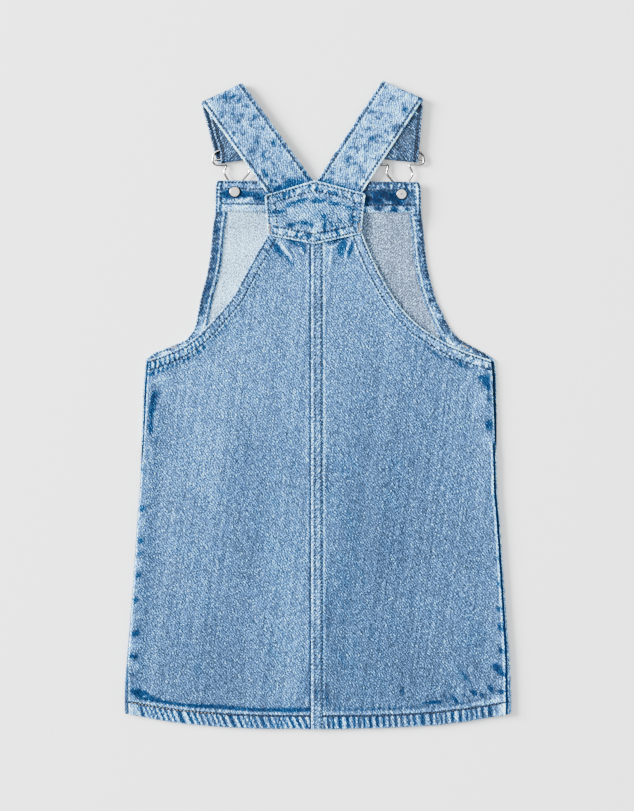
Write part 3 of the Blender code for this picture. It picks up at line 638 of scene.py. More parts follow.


# Nickel for the buttons and caps: painted shade and dark reflection round each rim, where the
# metal turns from straight up.
NICKEL = plain_material("nickel", (0.76, 0.755, 0.76), 0.25, 1.0, 0.02, 0.0015,
                        (0.03, 0.035, 0.045))
# Buckle wire: a painted bright core where it faces up and to the upper left, towards the light,
# and painted shade and dark reflection on the rest.
WIRE_METAL = plain_material("nickel_wire", (0.93, 0.91, 0.88), 0.18, 1.0, 0.02, 0.0015,
                            (0.006, 0.005, 0.004), (-0.33, 0.33, 0.884), 0.86, 0.93)
THREAD, DULL, TAN = (plain_material(name, colour, 0.8, 0.0, 0.20, 0.0008) for name, colour in (
    ("thread", (0.018, 0.026, 0.040)), ("thread_dull", (0.045, 0.055, 0.070)),
    ("thread_tan", (0.30, 0.25, 0.20))))


# ---------------------------------------------------------------- cloth pieces
def store(mesh, label, values, wide):
    """Keeps a number, or three, at each point of a mesh."""
    made = mesh.attributes.new(label, "FLOAT_VECTOR" if wide else "FLOAT", "POINT")
    made.data.foreach_set("vector" if wide else "value", np.ravel(values))


def smooth_piece(name, mesh, sharp_from):
    """A piece that is shaded smooth, but for edges sharper than so many degrees."""
    mesh.shade_smooth()
    mesh.set_sharp_from_angle(angle=math.radians(sharp_from))
    return placed_object(name + "_look", mesh)


# What the cloth carries at its points: rows are the signed distances from two stitched rows, and
# the run along them.
Looks = namedtuple("Looks", "grain tone dye edge rows")


def looks_of(across, along, tone, dye, edge, rows):
    return Looks(vectors(across, along, 0.0), tone, dye, edge, rows)


def cloth(name, face, back, looks, materials, over=False, turned_up=None):
    """A closed cloth shell between two grids of points; materials are its face's and its back's.

    Faces at a point that is turned up show the cloth's other side. The face looks to the left
    of a walk along a row towards the next row's side; over turns the whole shell round.
    """
    rows, columns = face.shape[:2]
    count = rows * columns
    index = np.arange(count).reshape(rows, columns)
    top = vectors(index[:-1, :-1], index[:-1, 1:], index[1:, 1:], index[1:, :-1]).reshape(-1, 4)
    rim = np.concatenate([index[0], index[1:, -1], index[-1, -2::-1], index[-2:0:-1, 0]])
    after = np.roll(rim, -1)
    quads = np.concatenate([
        top, top[:, ::-1] + count, vectors(rim + count, after + count, after, rim)])
    if over:
        quads = quads[:, ::-1]
    mesh = bpy.data.meshes.new(name)
    mesh.vertices.add(2 * count)
    mesh.vertices.foreach_set("co", np.concatenate([face, back]).ravel())
    mesh.loops.add(quads.size)
    mesh.loops.foreach_set("vertex_index", np.ascontiguousarray(quads).ravel())
    mesh.polygons.add(len(quads))
    mesh.polygons.foreach_set("loop_start", np.arange(0, quads.size, 4))
    kind = np.zeros(len(quads), int)
    kind[len(top):2 * len(top)] = 1
    if turned_up is not None:
        kind[:len(top)][turned_up[:-1, :-1].ravel()] = 1
    mesh.polygons.foreach_set("material_index", kind)
    for material in materials:
        mesh.materials.append(MATERIALS[material])
    mesh.update(calc_edges=True)
    for label, value in zip(Looks._fields, looks):
        shape = (2, rows, columns, 3) if label in WIDE else (2, rows, columns)
        store(mesh, label, np.broadcast_to(value, shape), label in WIDE)
    return smooth_piece(name, mesh, 70)


def settled(tone):
    """How deep the dye lies for a tone, and the shade that is left beside it."""
    return np.clip(-2.6 * (tone + 0.05), 0, 1), np.where(tone < -0.05, 0.40 * tone - 0.03, tone)


def bib_lift(x, y):
    far = np.minimum(*(np.hypot(x - b[0], y - b[1]) for b in (BUTTON_LEFT, BUTTON_RIGHT)))
    return BIB_RISE * ease(RISE_REACH, RISE_FLAT, far)


def hem_curve(x, y):
    rise = HEM_CORNER_RISE * np.abs(x / HEM_HALF) ** HEM_BEND
    return y + rise * ease(HEM_LOW + HEM_FADE, HEM_LOW, y)


def closed_side(y):
    return ease(OPENING_FOOT, OPENING_FOOT - OPENING_CLOSE, y)


def side_height(y):
    open_height = mix(OPENING_HEIGHT, ARMHOLE_HEIGHT, ease(0, UNDERARM, y))
    return mix(open_height, SIDE_HEIGHT, closed_side(y))


def rolled(edge_x, way, radius, roll, lap, cloth_depth, share):
    """Points of a rolled edge, outer and inner, each as x and height."""
    bend = radius * roll
    if roll < math.pi / 2:
        flat_x = edge_x - way * (radius * math.sin(roll) + lap * math.cos(roll))
    else:
        flat_x = edge_x - way * radius
    distance = (bend + lap) * (1 - share)
    angle = np.minimum(distance / radius, roll)
    beyond = np.maximum(0.0, distance - bend)
    x = flat_x + way * (radius * np.sin(angle) + beyond * np.cos(angle))
    height = radius * (1 - np.cos(angle)) + beyond * np.sin(angle)
    return x, height, x - way * cloth_depth * np.sin(angle), height + cloth_depth * np.cos(angle)


def edge_rounding(away, radius):
    """How much a face drops at a turned edge, so that the edge is round."""
    near = np.clip(1 - away / radius, 0, 1)
    return radius * (1 - np.sqrt(1 - near ** 2))


HEM_ROWS = np.concatenate([[0, 0.0004, 0.0009, 0.0016], np.arange(0.0025, 0.031, 0.0011)])
SKIRT_ROWS = np.concatenate([HEM_LOW + HEM_ROWS, np.arange(HEM_LOW + 0.0335, 0.038, 0.0026)])
SIDE_SHARES = np.array([0, 0.06, 0.13, 0.22, 0.33, 0.46, 0.60, 0.75, 0.88, 1.0])


def rows_along(edge, low, high, pitch):
    """Heights that are evenly spaced along an edge."""
    ys = np.linspace(low, high, 400)
    travelled = run_length(vectors(edge(ys), ys))
    return np.interp(np.linspace(0, travelled[-1], int(travelled[-1] / pitch)), travelled, ys)


def curve_line(curve, low, high, pitch):
    """Evenly spaced points along a curve over y."""
    ys = rows_along(curve, low, high, pitch)
    return vectors(curve(ys), ys)


def slope_of(curve, y):
    return (curve(y + MM) - curve(y - MM)) / (2 * MM)


def levels(rows, grid):
    """The height of each row of a grid at each of its points."""
    return np.broadcast_to(rows[:, None], grid.shape)


# ---------------------------------------------------------------- back panels
def back_edge(side, y):
    seam = OUTLINE[side](y) - WAYS[side] * SEAM_INSET[side](y)
    return np.where(y >= UNDERARM, ARMHOLE[side](y), seam)


def armhole_line(side):
    return np.concatenate([[[back_edge(side, UNDERARM - 1e-5), UNDERARM]],
                           curve_line(ARMHOLE[side], UNDERARM, BACK_TOP, 0.0015)])


def back_away(side, x, y):
    slope = np.where(y > UNDERARM + MM, slope_of(ARMHOLE[side], y), 0.0)
    return np.abs(back_edge(side, y) - x) / np.hypot(1, slope)


def back_top(side, x, y):
    away = back_away(side, x, y)
    edge_height = np.where(y < UNDERARM, side_height(y), ARMHOLE_HEIGHT)
    reach = mix(SIDE_REACH, EDGE_REACH, ease(0, UNDERARM, y))
    near = np.clip((away - reach) / (0.002 - reach), 0, 1)
    height = mix(BACK_HEIGHT, edge_height, near * near * (3 - 2 * near))
    low = hem_curve(x, HEM_LOW)
    height = np.maximum(height, mix(BACK_HEIGHT, HEM_HEIGHT, ease(HEM_REACH, HEM_DEPTH, y - low)))
    calm = (ease(0.004, 0.030, away) * ease(HEM_DEPTH, 0.045, y - low)
            * ease(0.006, 0.020, np.abs(x)))
    for wave in WAVES:
        far = np.hypot((x - wave.x) / wave.half_width, (y - wave.y) / wave.half_length)
        height = height + calm * wave.height * ease(1.0, 0.0, far)
    return height


BACK_MARKS = (
    # folds that fan out below the yoke
    (-37, 141, 11, 3.4, 118, -0.38, -0.35), (-29.5, 139, 14, 1.5, 125, 0.60, 0.45),
    (-21, 146, 11, 4.2, -32, -0.38, -0.25), (-16, 140, 9, 1.4, 118, 0.22, 0.30),
    (-12, 142, 9, 3.2, 105, -0.34, -0.2), (-26, 131, 9, 2.6, 125, -0.20, -0.15),
    (-44, 136, 10, 1.6, 62, -0.12, -0.1), (22, 143, 11, 4.8, 80, -0.42, -0.35),
    (30, 142, 11, 3.0, 74, -0.40, -0.2), (14, 147, 7, 3.6, 30, -0.34, -0.2),
    (12, 136, 14, 1.8, 84, 0.24, 0.30), (26, 137, 12, 1.4, 76, 0.36, 0.3),
    (35, 140, 12, 2.0, 108, 0.14, 0.25), (22, 136, 16, 12, 80, -0.10, 0.0),
    (-22, 136, 14, 13, 100, -0.09, 0.0), (-20, 134, 13, 1.4, 112, 0.22, 0.2),
    # under the left arm
    (-149, -2, 15, 4.2, 84, -0.40, -0.25), (-146, 8, 7, 5.0, 60, -0.24, -0.2),
    (-151, -21, 8, 3.4, 92, -0.40, -0.1), (-147, -33, 7, 4.0, 80, -0.16, 0.0),
    (-140, 23, 10, 5.0, 20, 0.12, 0.2), (-137, 10, 14, 5.0, 70, 0.08, 0.2),
    # under the right arm
    (153, 19, 8.5, 2.8, 92, -0.46, -0.25), (149, 22.5, 6.5, 3.4, -20, -0.42, -0.2),
    (151, 17, 6, 3.0, -52, -0.34, -0.1), (127, 37.5, 17, 2.2, -25, -0.26, -0.2),
    (107, 44, 7, 1.6, -52, -0.26, -0.1), (99, 52, 9, 1.8, -52, -0.20, -0.1),
    (154.5, 5, 4.5, 2.4, 80, -0.28, -0.1), (154, -18, 6, 4.2, 90, -0.44, -0.2),
    (148, -14, 6, 3.0, 70, -0.14, 0.0), (146, 4, 12, 4.0, 62, 0.10, 0.2),
    (134, 18, 16, 4.0, 60, 0.08, 0.2), (152, -34, 9, 5.0, 90, 0.12, 0.15),
    # puckers down the left side seam
    (-160, -60, 4.8, 2.7, 20, -0.25, -0.15), (-158, -93, 5.8, 3.1, 10, -0.40, -0.2),
    (-160, -122, 4.8, 2.9, 0, -0.34, -0.2), (-161, -135, 4.8, 2.9, 12, -0.37, -0.2),
    (-162, -154, 4.8, 2.7, 8, -0.37, -0.2), (-164, -176, 4.8, 2.7, 15, -0.37, -0.2),
    (-164, -206, 5.8, 3.1, 16, -0.46, -0.25), (-166, -227, 5.8, 3.1, -16, -0.46, -0.2),
    (-167, -243, 5, 2.4, -20, -0.26, -0.2), (-161, -259, 10, 3.6, -12, -0.50, -0.3),
    (-150, -263, 10, 2.4, -14, -0.30, -0.2), (-158, -107, 5, 2.2, 8, 0.10, 0.15),
    (-160, -145, 5, 2.0, 8, 0.10, 0.15), (-161, -190, 6, 3.0, 8, 0.10, 0.15),
    (-164, -217, 6, 2.4, 0, 0.12, 0.15), (-164, -235, 6, 2.4, -12, 0.12, 0.15),
    # puckers down the right side seam
    (160, -84, 5.8, 2.9, 170, -0.34, -0.15), (162, -105, 4.8, 2.7, 165, -0.34, -0.15),
    (163, -139, 4.8, 2.9, 170, -0.37, -0.2), (164, -162, 5.8, 2.9, 165, -0.37, -0.2),
    (164, -184, 4.8, 2.7, 165, -0.34, -0.2), (166, -201, 6.8, 3.3, 150, -0.46, -0.2),
    (166, -222, 5.8, 3.1, 150, -0.46, -0.25), (162, -238, 8.5, 3.6, 148, -0.44, -0.25),
    (166, -243, 5, 2.8, 165, -0.42, -0.2), (164, -212, 6, 2.0, 160, 0.12, 0.15),
    (160, -230, 6, 2.0, 150, 0.14, 0.2), (164, -250, 6, 3.0, 170, 0.14, 0.2),
    (156, -256, 5.0, 2.2, 128, -0.44, -0.2), (165, -258, 5.0, 2.2, 175, -0.44, -0.2),
    (140, -260, 5.0, 2.5, 130, -0.44, -0.2), (148, -262, 4.5, 2.0, 132, -0.40, -0.1),
    (123, -265, 7, 1.8, 138, -0.38, -0.1), (136, -248, 8, 1.4, 122, -0.14, -0.1),
    (128, -240, 10, 1.5, 118, -0.12, -0.1), (118, -254, 8, 1.5, 130, -0.16, -0.1),
    (104, -268, 13, 2.0, 2, -0.44, -0.2), (76, -259, 5, 2.2, 110, -0.34, -0.1),
    (160, -265, 7, 4.0, 4, 0.26, 0.15), (146, -268, 9, 1.8, 14, 0.16, 0.1),
    (141, -249, 12, 1.8, 132, 0.13, 0.1), (151, -254, 9, 1.7, 132, 0.14, 0.1),
    (128, -256, 11, 2.0, 130, 0.10, 0.1), (132, -262, 4, 1.4, 130, -0.30, -0.1),
    (116, -264, 6, 1.6, 132, -0.28, -0.1), (132, -245, 6, 1.6, 128, -0.22, -0.1),
    # at the outer ends of the hem
    (-158.5, -274, 8.5, 1.3, 92, -0.46, -0.1), (157.5, -277, 7, 1.2, 90, -0.46, -0.1),
    # beside the centre seam
    (7.8, -262, 4, 14, 0, -0.16, -0.1), (-9.5, -250, 3, 18, 0, -0.14, -0.1),
    (9.0, -66, 3.6, 26, 0, -0.10, -0.1), (-9.0, 60, 3.4, 40, 0, -0.06, 0.0),
    (9.0, -190, 4, 30, 0, -0.08, 0.0), (-9.5, -160, 4, 40, 0, -0.08, 0.0),
)


# Broad soft bands painted lighter and darker: painted shading of soft drags in the cloth, seen
# only from afar.
PAINTED_BROAD_SHADES = (
    (-28, -185, 150, 24, 90, 0.085, 0), (-66, -85, 120, 30, 90, -0.038, 0),
    (-104, -30, 90, 24, 90, 0.045, 0), (-105, -235, 50, 60, 0, -0.048, 0),
    (50, -95, 150, 34, 90, -0.042, 0), (84, -235, 55, 24, 90, -0.028, 0),
    (132, -110, 200, 34, 90, 0.024, 0),
)


def shut_right(side, y):
    """1 along the sewn part of the right side seam, which lies in from the fold."""
    return ease(OPENING_FOOT + 0.004, OPENING_FOOT - 0.006, y) * (side == "right")


# How the wear of the two backs differs.
BackWear = namedtuple("BackWear", "seed lean rope_tone rope_shade corner_tone ridge_half furrow "
                      "furrow_change tips under_yoke")
BACK_WEAR = {
    "left": BackWear(20, -0.45, 0.50, 0.065, 0.24, 0.0028, 1.0, 0.20, 1.0, 0.08),
    "right": BackWear(40, -0.12, 0.45, 0.050, 0.34, 0.0036, 0.4, 0.45, 0.22, 0.13),
}
ROPE_SPACING = 0.0056  # along the hem
ARMHOLE_ROPE_SPACING = 0.0040


def back_relief(side, x, y, level):
    """Tone, added height, worn-edge and row distances of a back panel."""
    own = BACK_WEAR[side]
    seed = own.seed
    away, along = nearest(x, y, armhole_line(side))
    away = np.where(y < UNDERARM - 0.004, np.maximum(away, UNDERARM - 0.004 - y), away)
    low = level - HEM_LOW
    seam_away = np.abs(back_edge(side, np.minimum(y, UNDERARM - 1e-4)) - x)
    tone, rise = marked(BACK_MARKS, x, y, seed)

    # Hem: slanting ropes under the stitched line, a pale ridge and a dark furrow over it.
    ropes = rope(x + own.lean * (HEM_DEPTH - low), ROPE_SPACING, seed + 1)
    calm = ease(0.166, 0.156, np.abs(x)) * ease(0.004, 0.008, np.abs(x + 0.001))
    inside = ease(0.0, 0.0018, low) * ease(0.0124, 0.0102, low) * calm
    tone += (inside * (own.rope_tone * np.clip(1.5 * ropes, -1, 1) - own.rope_shade)
             + 0.12 * ease(0.0026, 0.0006, low))
    tone += own.corner_tone * (1 - calm) * ease(0.0, 0.0018, low) * ease(0.0120, 0.0100, low)
    rise += 0.00030 * inside * ropes
    ridge = bump(low, 0.0142, own.ridge_half) * (0.75 + 0.25 * ripple(x / 0.009, seed + 2))
    tone += 0.22 * ridge
    rise += 0.00025 * ridge
    furrow = bump(low, 0.0178 + 0.0010 * ripple(x / 0.03, seed + 3), 0.0030)
    change = own.furrow_change
    furrow = furrow * calm * own.furrow * (1 - change + change * ripple(x / 0.021, seed + 4))
    tone -= 0.56 * furrow
    rise -= 0.00022 * furrow
    tips = rope(x + 0.7 * own.lean * low, 0.0049, seed + 6) * bump(low, 0.0165, 0.008) * calm
    tone += 0.15 * tips
    rise += 0.00010 * tips

    # Armhole: short ropes between its two rows, dark tips beyond them.
    ropes = rope(along + 0.3 * away, ARMHOLE_ROPE_SPACING, seed + 7)
    inside = ease(0.0014, 0.0028, away) * ease(0.0094, 0.0080, away)
    inside *= mix(1.0, 0.24, ease(0.035, 0.080, along))
    if side == "left":
        tone += inside * (0.50 * np.clip(1.6 * ropes, -1, 1) - 0.04)
    else:
        uneven = mottle(along / 0.0021, away / 0.0020, seed + 7)
        tone += inside * (0.12 * ropes + 0.30 * uneven + 0.15)
        tone += 0.22 * ease(0.0019, 0.0010, away)
    rise += 0.00026 * inside * ropes
    spots = mottle(along / 0.0018, away / 0.0018, seed + 8)
    tone += inside * 0.24 * spots
    tips = bump(away, 0.0114, 0.0044) * mix(1.0, 0.35, ease(0.045, 0.085, along))
    uneven = rope(along + 0.3 * away, ARMHOLE_ROPE_SPACING, seed + 9)
    tone -= tips * (0.22 + 0.50 * uneven) * own.tips
    tone += 0.24 * bump(away, 0.0099, 0.0011)
    rise -= 0.00020 * tips

    # Pale ridges along both sides of the centre band, the right one over the seam allowance.
    below_yoke = ease(0.157, 0.150, y)
    tone += 0.10 * bump(x, -0.0098, 0.0018) * below_yoke
    allowance = bump(x, 0.0054, 0.0022) * below_yoke * ease(0.001, 0.004, low)
    tone += 0.24 * allowance
    rise += 0.00045 * allowance

    # Paler again just below the yoke.
    under = np.interp(x, (YOKE_LEFT.foot_x, YOKE_MIDDLE, YOKE_RIGHT.foot_x),
                      (YOKE_LEFT.foot_y, YOKE_POINT, YOKE_RIGHT.foot_y)) - y
    tone += own.under_yoke * (ease(0.0004, 0.0014, under) * ease(0.0090, 0.0040, under)
                              * ease(0.046, 0.040, np.abs(x)))

    # Broad unevenness of the wash, soft drags in the cloth, painted shading of broad drags, and a
    # painted fall of light.
    dye, tone = settled(tone)
    dye = dye * mix(1.0, 0.62, ease(0.0130, 0.0110, low))
    shut = shut_right(side, y)
    dye = np.maximum(dye, shut * bump(seam_away, 0.0009, 0.0016))
    dye = dye + 0.20 * bump(np.abs(x + 0.003), 0.030, 0.030) * ease(0.06, -0.10, y)
    # Painted light and shade: lighter towards the top and the left, darker towards the bottom and
    # the right, and a little paler low on the right.
    tone += 0.29 * (y + 0.10) - 0.28 * x + 0.035 * ease(-0.12, -0.20, y) * ease(0.0, 0.05, x)
    # Painted shading of broad drags in the cloth.
    tone += marked(PAINTED_BROAD_SHADES, x, y, seed + 10)[0]
    tone += 0.022 * mottle(x / 0.045, y / 0.120, seed + 10)
    tone += 0.014 * mottle(x / 0.013, y / 0.045, 12)
    rise += 0.00016 * mottle(x / 0.011, y / 0.030, 14)
    tone += 0.10 * (1 - shut) * ease(0.0022, 0.0008, seam_away) * ease(UNDERARM, 0.030, y)
    tone += shut * 0.46 * bump(seam_away, 0.0031, 0.0014)

    edge = np.minimum(away, seam_away + 0.0004 + 0.004 * shut)
    edge = np.where(y < UNDERARM, edge, away)
    below = y < 0
    centre = (x < 0) & (x > -0.0266)
    seam_line = np.where(shut > 0.5, seam_away - 0.0009, FAR)
    outer_row, inner_row = ARMHOLE_STITCHES
    rows = vectors(np.where(below, low - HEM_DEPTH, away - outer_row),
                   np.where(centre, -1.2 * (x + 0.0070),
                            np.where(below, seam_line, away - inner_row)),
                   np.where(centre & (low > 0.016), PITCH / 4 * ease(0.116, 0.128, y),
                            np.where(below, PITCH / 4, along)))
    return tone, dye, rise, edge, rows, away


BACK_SHARES = np.concatenate([np.linspace(0, 0.055, 9)[:-1], np.linspace(0.055, 0.970, 91),
                              [0.976, 0.982, 0.988, 0.994]])


def back_row(side, y):
    """Outer and inner x across a back at one height, their drops, and the x that sets its top."""
    way, radius, shut = WAYS[side], side_height(y) / 2, float(closed_side(y))
    roll = 0.0
    if y < UNDERARM:
        roll = math.asin(max(0.0, 1 - float(SEAM_INSET[side](y)) / radius)) * shut
    hem = ease(HEM_DEPTH + HEM_STEP, HEM_DEPTH, y - HEM_LOW)
    depth = mix(CLOTH, TURNED, max(float(hem), float(y >= UNDERARM)))
    x, drop, inner_x, inner_drop = rolled(float(back_edge(side, y)), way, radius, roll,
                                          FREE_LAP * (1 - shut), depth, SIDE_SHARES[::-1])
    middle = mix(CENTRE_SEAM + way * GAP / 2, x[0], BACK_SHARES)
    x_height = x
    if roll == 0:
        inner_drop = inner_drop - depth
    else:
        x_height = 0 * x + x[0]
    ends = ((middle, x), (middle, inner_x), (0 * middle, drop), (0 * middle, inner_drop),
            (middle, x_height))
    return [np.concatenate(pair) for pair in ends]


def make_back(side):
    rows = np.concatenate([SKIRT_ROWS, rows_along(ARMHOLE[side], UNDERARM, BACK_TOP, 0.0012)])
    x_out, x_in, drop_out, drop_in, x_height = map(
        np.array, zip(*(back_row(side, y) for y in rows)))
    level = levels(rows, x_out)
    y = hem_curve(x_out, level)
    y = y + 0.00035 * ripple(x_out / 0.012, 3) * ease(0.012, 0.0, level - HEM_LOW)
    top = back_top(side, x_height, level)
    tone, dye, rise, edge, stitched, away = back_relief(side, x_out, y, level)
    hem = ease(HEM_DEPTH + HEM_STEP, HEM_DEPTH, level - HEM_LOW)
    armhole = ease(ARMHOLE_HEM + 0.003, ARMHOLE_HEM, away) * ease(0.038, UNDERARM, level)
    depth = mix(CLOTH, TURNED, np.maximum(hem, armhole))
    rolling = drop_out > 1e-7
    open_edge = np.where(level >= OPENING_FOOT, np.minimum(away, np.abs(x_out - x_out[:, -1:])),
                         FAR)
    near = np.minimum(open_edge, level - HEM_LOW + 0.0001)
    round_off = edge_rounding(near, 0.0009)
    z_out = top - drop_out + np.where(rolling, 0.4, 1.0) * rise - round_off
    z_in = np.where(rolling, top - drop_in, top - depth) + 0.5 * rise + 0.5 * round_off
    side_in = np.where(rolling, x_in, x_out)
    return cloth("back_" + side, vectors(x_out, y, z_out), vectors(side_in, y, z_in),
                 looks_of(x_out, y, tone, dye, edge, stitched), ("denim", "denim_inside"),
                 over=side == "left")


# ---------------------------------------------------------------- front panel and its hems
BIB_ROWS = np.concatenate([
    rows_along(BIB_SIDE["left"], UNDERARM, 0.0695, 0.0020)[1:],
    np.arange(0.0715, 0.1715, 0.0022),
    [FACING_FOOT - GAP - FACING_STEP, FACING_FOOT - GAP],
    FACING_FOOT + np.arange(0, 0.0235, 0.0009),
    BIB_TOP - np.array([0.0032, 0.0024, 0.0016, 0.0010, 0.0004])])
FRONT_SKIRT_ROWS = np.concatenate([
    HEM_LOW + HEM_ROWS[::2], np.arange(HEM_LOW + 0.034, 0.039, 0.0045)])
FRONT_MIDDLE = np.linspace(0, 1, 76)[1:-1]


def front_skirt_row(y):
    """Outer x, outer height, inner x and inner height across the front at one height."""
    depth = float(mix(CLOTH, TURNED, ease(HEM_LINE + HEM_STEP, HEM_LINE, y)))
    shut = float(closed_side(y))
    ends = {}
    for side, way in WAYS.items():
        inset, radius = float(SEAM_INSET[side](y)), float(side_height(y)) / 2
        back_roll = math.asin(max(0.0, 1 - inset / radius))
        over = max(0.0, inset - radius) - GAP
        roll = (math.pi - back_roll + min(0.0, over) / radius) * shut
        lap = mix(FREE_LAP, max(0.0, over), shut)
        ends[side] = rolled(float(OUTLINE[side](y)), way, radius, roll, lap, depth, SIDE_SHARES)
    middle = mix(ends["left"][0][-1], ends["right"][0][-1], FRONT_MIDDLE)
    flat = (middle, 0 * middle, middle, 0 * middle + depth)
    return [np.concatenate([left, mid, right[::-1]])
            for left, mid, right in zip(ends["left"], flat, ends["right"])]


def side_hem_width(y):
    step_top = FACING_FOOT - GAP
    return mix(SIDE_HEM, SIDE_HEM_UNDER_FACING, ease(step_top - FACING_STEP, step_top, y))


HEM_OFFSETS = np.array([0.0, 0.0005, 0.0012, 0.0020, 0.0030, 0.0042, 0.0054, 0.0068, 0.0082,
                        0.0094, 0.0103, 0.0108])  # at the full width of the side hem


def bib_row_x(y):
    """x of the bib's points at one height: side hem, inside, side hem."""
    width = float(side_hem_width(y))
    offsets = np.concatenate([HEM_OFFSETS / HEM_OFFSETS[-1] * width, [width + GAP]])
    ends = {}
    for side, way in WAYS.items():
        slope = min(abs(float(slope_of(BIB_SIDE[side], y))), STEEPEST_LEAN)
        lean = math.hypot(1, slope) if y < BIB_TOP - BIB_CORNER else 1.0
        ends[side] = float(BIB_SIDE[side](y)) - way * offsets * lean
    middle = mix(ends["left"][-1], ends["right"][-1], np.linspace(0, 1, 70)[1:-1])
    return np.concatenate([ends["left"], middle, ends["right"][::-1]])


def bib_y(x, y):
    return y + BIB_TOP_TILT * (x / BIB_EDGE[-1, 2]) * ease(UNDERARM, BIB_TOP, y)


def bib_outline():
    """The bib's edge from the left underarm over the top to the right one."""
    left, right = (curve_line(BIB_SIDE[side], UNDERARM, BIB_TOP, 0.002) for side in WAYS)
    line = np.concatenate([left, right[::-1]])
    line[:, 1] = bib_y(*line.T)
    return line


BIB_LINE = bib_outline()
# On the inside of the bib and on its hems.
INSIDE_MARKS = (
    (-80, 160, 12, 3, 70, -0.05, 0.2), (88, 120, 30, 5, 96, -0.06, 0.2),
    (-72, 110, 26, 6, 62, 0.05, 0.3), (70, 112, 26, 6, 118, -0.05, 0.3),
    (-92, 80, 20, 5, 60, -0.06, 0.0), (94, 76, 16, 6, 125, -0.08, 0.0),
)


def make_front():
    x_out, z_out, x_in, z_in = map(np.array, zip(*map(front_skirt_row, FRONT_SKIRT_ROWS)))
    level = levels(FRONT_SKIRT_ROWS, x_out)
    bib = np.array([bib_row_x(y) for y in BIB_ROWS])
    share = np.linspace(0, 1, x_out.shape[1])
    bib = np.array([np.interp(share, np.linspace(0, 1, bib.shape[1]), row) for row in bib])
    bib_level = levels(BIB_ROWS, bib)
    lift = bib_lift(bib, bib_y(bib, bib_level))
    x_out, x_in = np.concatenate([x_out, bib]), np.concatenate([x_in, bib])
    z_out = np.concatenate([z_out, lift])
    z_in = np.concatenate([z_in, lift + CLOTH])
    level = np.concatenate([level, bib_level])
    y = np.where(level > UNDERARM, bib_y(x_out, level), hem_curve(x_out, level))
    tone, rise = marked(INSIDE_MARKS, x_out, y, 60)
    away = np.where(level > UNDERARM, nearest(x_out, y, BIB_LINE)[0], FAR)
    low = level - HEM_LOW
    rolling = (np.abs(x_out) > 0.15) & (level < UNDERARM)
    # The strip of the front that rolls over at each side is dark, with pale rubbed spots.
    puckers = rope(y, 0.0070, 61)
    inset, outline = (np.where(x_out < 0, curves["left"](level), curves["right"](level))
                      for curves in (SEAM_INSET, OUTLINE))
    outer_away = np.abs(x_out - outline)
    # In the side openings the strip is painted dark beside and under the back's edge: a painted
    # shadow in the gap.
    is_open = ease(OPENING_FOOT - 0.006, OPENING_FOOT + 0.004, level)
    right_open = mix(0.30, -0.72, ease(0.0032, 0.0022, inset - outer_away))
    left_open = mix(0.24, -0.62, ease(0.0010, 0.0019, outer_away))
    strip = np.where(x_out < 0, mix(-0.30 + 0.12 * puckers, left_open, is_open),
                     mix(0.12 + 0.12 * puckers, right_open, is_open))
    tone = tone + np.where(rolling, strip, 0.0)
    # The bib's inside is painted lighter on the left and darker on the right: painted light and
    # shade.
    tone = tone + np.where(level > UNDERARM, mix(0.072, -0.176, ease(-0.02, 0.02, x_out))
                           + 0.03 * mottle(x_out / 0.02, y / 0.02, 62)
                           + 0.02 * mottle(x_out / 0.007, y / 0.012, 63), 0.0)
    # A painted shadow on the bib's inside just below the facing's foot edge.
    shadow_under_facing = (level < FACING_FOOT) & (away > 0.008)
    tone = tone - 0.16 * shadow_under_facing * ease(0.0026, 0.0, FACING_FOOT - level)
    rise = np.where((level > 0.05) & (away > 0.014), rise, 0.0)
    edge = np.where(level > UNDERARM, away, outer_away + np.where(rolling, 0.0003, FAR))
    stitched = vectors(np.where(level > UNDERARM, FAR, low - HEM_DEPTH), FAR, x_out)
    dye, tone = settled(tone)
    turned_up = (np.abs(x_out) > 0.150) & (level < 0.048) | (away < 0.0035)
    return cloth("front", vectors(x_in, y, z_in + rise), vectors(x_out, y, z_out),
                 looks_of(x_out, y, tone, dye * 0.5, edge, stitched), ("denim_inside", "denim"),
                 turned_up=turned_up)


def hem_shell(name, x, y, lift, away, inner_away, rise, looks):
    """A hem that lies on the bib: round inner edge, and its outer edge rolled over the bib's."""
    low = lift + CLOTH + GAP
    over = ease(0.0010, 0.0, away)
    high = low + CLOTH - edge_rounding(away, 0.0010) - 0.7 * edge_rounding(inner_away, 0.0006)
    high = high - 0.0012 * over
    low = low - 0.0022 * over
    return cloth(name, vectors(x, y, high + rise), vectors(x, y, np.minimum(low, high - 0.0002)),
                 looks, ("denim", "denim_inside"))


def bib_hem_tone(x, y, away, seed):
    """Tone and height of the bib's stitched border."""
    along = nearest(x, y, BIB_LINE)[1]
    ropes = rope(along, 0.0036, seed)
    inside = ease(0.0008, 0.0020, away) * ease(0.0090, 0.0072, away)
    tone = inside * (0.28 * ropes + 0.34 * mottle(along / 0.0018, away / 0.0018, seed + 1))
    return tone, 0.00022 * inside * ropes


